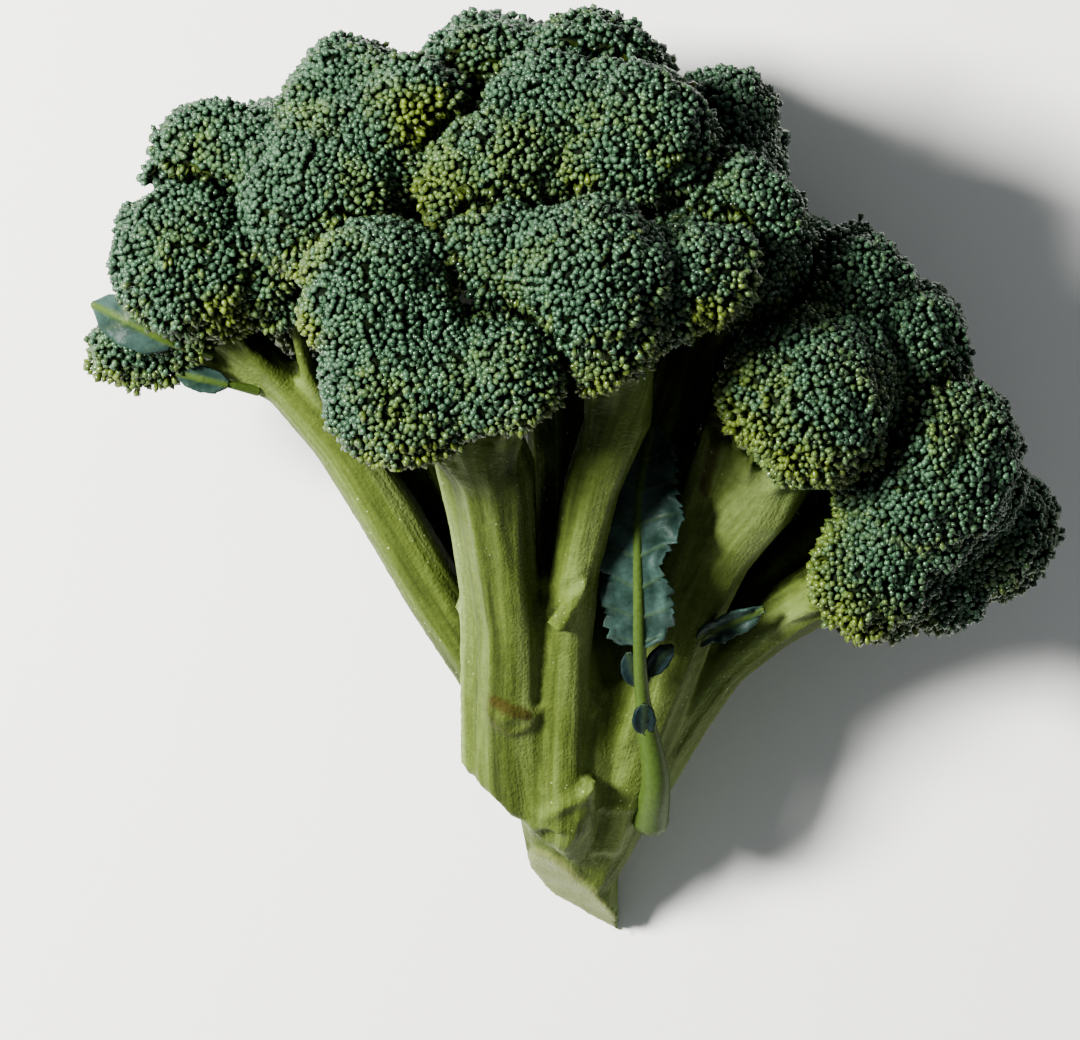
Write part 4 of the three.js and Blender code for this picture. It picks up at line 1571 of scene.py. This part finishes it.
def leaves() -> dict[str, list[Leaf]]:
    """Draws the leaves.

    Returns:
        The leaves by node, each with the leaflets that grow on its stem.
    """
    front = Leaf(
        midrib=((17, -80, 32), (18, -70, 46), (15, -52, 60), (14, -30, 76), (14, -8, 82), (17, 8, 80)),
        stem=(4.2, 3, 1.7, 1.4),
        face=(-0.1, 0, 1),
        start=0.52,
        half_width=1.0 * MM,
        fold=0.06,
        ripple=0.9 * MM,
        waves=5,
        edge=(
            *((0, 5.5, 1.5), (0.05, 7.5, 6), (0.12, 8.2, 8.4), (0.28, 8.8, 8.1), (0.35, 7.0, 6.4)),
            *((0.41, 10.8, 5.6), (0.53, 10.4, 10.9), (0.67, 9.4, 10.2), (0.75, 7.4, 8.6), (0.84, 8.0, 7.8)),
            *((0.93, 5.3, 6), (1, 0.8, 0.8)),
        ),
        teeth=0.26,
        rows=130,
        columns=36,
    )
    leaflets = (
        (((15, -52, 60), (13, -46, 64), (12, -41.5, 66)), (-0.2, -0.3, 1)),
        (((15, -50, 61), (18, -44, 64), (21.5, -40, 66)), (0.2, -0.3, 1)),
        (((16, -62, 53), (15.4, -58, 57.5), (15.6, -53, 61.5)), (0, -0.5, 1)),
    )
    leaflet = {"stem": (0.8, 0.8), "start": 0.3, "half_width": 2.6 * MM, "fold": 0.3, "ripple": 0.2 * MM}
    # The leaflets are darkened by painted shade
    leaflet |= {"painted_leaf_shade": 0.75, "rows": 24, "columns": 10}
    right = Leaf(
        midrib=((24, -44, 48), (29, -38, 55), (35, -35, 58), (42, -32, 60)),
        stem=(1.6, 1.1),
        face=(0.2, -0.5, 1),
        start=0.3,
        half_width=3.4 * MM,
        fold=0.5,
        ripple=0.6 * MM,
        waves=2,
        teeth=0.15,
        rows=40,
        columns=14,
    )
    left = Leaf(
        midrib=((-80, 24, 72), (-90, 27, 79), (-98, 31, 80), (-106, 35, 75)),
        stem=(1.4, 1.1),
        face=(-0.3, -0.1, 1),
        start=0.34,
        half_width=5.6 * MM,
        fold=0.1,
        ripple=0.3 * MM,
        teeth=0.1,
        rows=40,
        columns=14,
    )
    left_small = Leaf(
        midrib=((-70, 16, 64), (-79, 18, 69), (-88, 20, 70)),
        stem=(1.2, 0.9),
        face=(-0.2, -0.3, 1),
        start=0.4,
        half_width=3.2 * MM,
        fold=0.2,
        ripple=0.2 * MM,
        teeth=0.1,
        rows=30,
        columns=12,
    )
    return {
        "leaf_front": [front, *[Leaf(midrib=midrib, face=face, **leaflet) for midrib, face in leaflets]],
        "leaf_right": [right],
        "leaf_left": [left],
        "leaf_left_small": [left_small],
    }


@dataclass
class Studio:
    """The pale floor, the soft light and the camera, which looks straight down."""

    floor_half_width: float = 3.0
    view_middle: tuple[float, float] = (-8.731 * MM, -10.938 * MM)
    view_width: float = 237.6 * MM
    sharp_height: float = 75 * MM
    camera_height: float = 2.4
    sensor: float = 36.0
    key_place: Vector = field(default_factory=lambda: Vector((-0.86, 0.26, 1.06)))
    key_aim: Vector = field(default_factory=lambda: Vector((0, 0, 0.06)))
    key_width: float = 0.32
    key_watts: float = 62.0
    key_colour: tuple[float, float, float] = (1.0, 0.98, 0.94)
    air_colour: Colour = (0.93, 0.97, 1.0, 1)
    air_strength: float = 0.25

    def floor(self) -> None:
        """Lays the floor."""
        shape = bmesh.new()
        bmesh.ops.create_grid(shape, x_segments=4, y_segments=4, size=self.floor_half_width)
        floor = new_piece("floor", shape)
        floor.data.materials.append(Paper().material())
        floor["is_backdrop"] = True

    def lights(self) -> None:
        """Hangs one soft light that faces the head, in pale air."""
        lamp = bpy.data.lights.new("key", "AREA")
        lamp.size = self.key_width
        lamp.energy = self.key_watts
        lamp.color = self.key_colour
        piece = bpy.data.objects.new("key", lamp)
        piece.location = self.key_place
        piece.rotation_euler = (self.key_aim - self.key_place).to_track_quat("-Z", "Y").to_euler()
        bpy.context.scene.collection.objects.link(piece)
        world = bpy.data.worlds.new("studio")
        bpy.context.scene.world = world
        world.use_nodes = True
        backdrop = world.node_tree.nodes["Background"]
        backdrop.inputs["Color"].default_value = self.air_colour
        backdrop.inputs["Strength"].default_value = self.air_strength

    def camera(self) -> None:
        """Hangs the camera over the head, which fills its view at the height that is sharpest."""
        camera = bpy.data.objects.new("camera", bpy.data.cameras.new("camera"))
        camera.data.sensor_width = self.sensor
        camera.data.lens = self.sensor * (self.camera_height - self.sharp_height) / self.view_width
        camera.data.clip_end = 20
        camera.location = (*self.view_middle, self.camera_height)
        bpy.context.scene.collection.objects.link(camera)
        bpy.context.scene.camera = camera

    def build(self) -> None:
        """Sets up the whole studio."""
        self.floor()
        self.lights()
        self.camera()


def main() -> None:
    """Builds the head, piece by piece, and the studio round it."""
    logging.basicConfig(level=logging.INFO, format="%(message)s")
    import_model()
    bud_skin, flesh_skin = BudSkin().material(), FleshSkin().material()
    crown = [
        Floret(name, *facts, seed, coarseness=BACK_COARSENESS if name.startswith("back") else 1.0)
        for seed, (name, facts) in enumerate(FLORETS.items())
    ]
    for floret in crown:
        floret.build_flesh()
    stalk = Stalk().build(StalkSkin().material(), crown)
    around = surface_tree([stalk, *[floret.flesh for floret in crown]])
    planter = BudPlanter(Bud().build())
    for floret in crown:
        floret.dress(around, planter, bud_skin, flesh_skin)
    leaf_skin = LeafSkin().material()
    for node, parts in leaves().items():
        shape = bmesh.new()
        for leaf in parts:
            shape.from_mesh(leaf.build())
        show(new_piece(node + "_blade", shape), node, leaf_skin)
    Studio().build()
    bpy.context.scene.view_settings.look = "AgX - Medium High Contrast"
    total = sum(len(face.vertices) - 2 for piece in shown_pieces() for face in piece.data.polygons)
    log.info("all pieces: %d triangles", total)


if __name__ == "__main__":
    main()
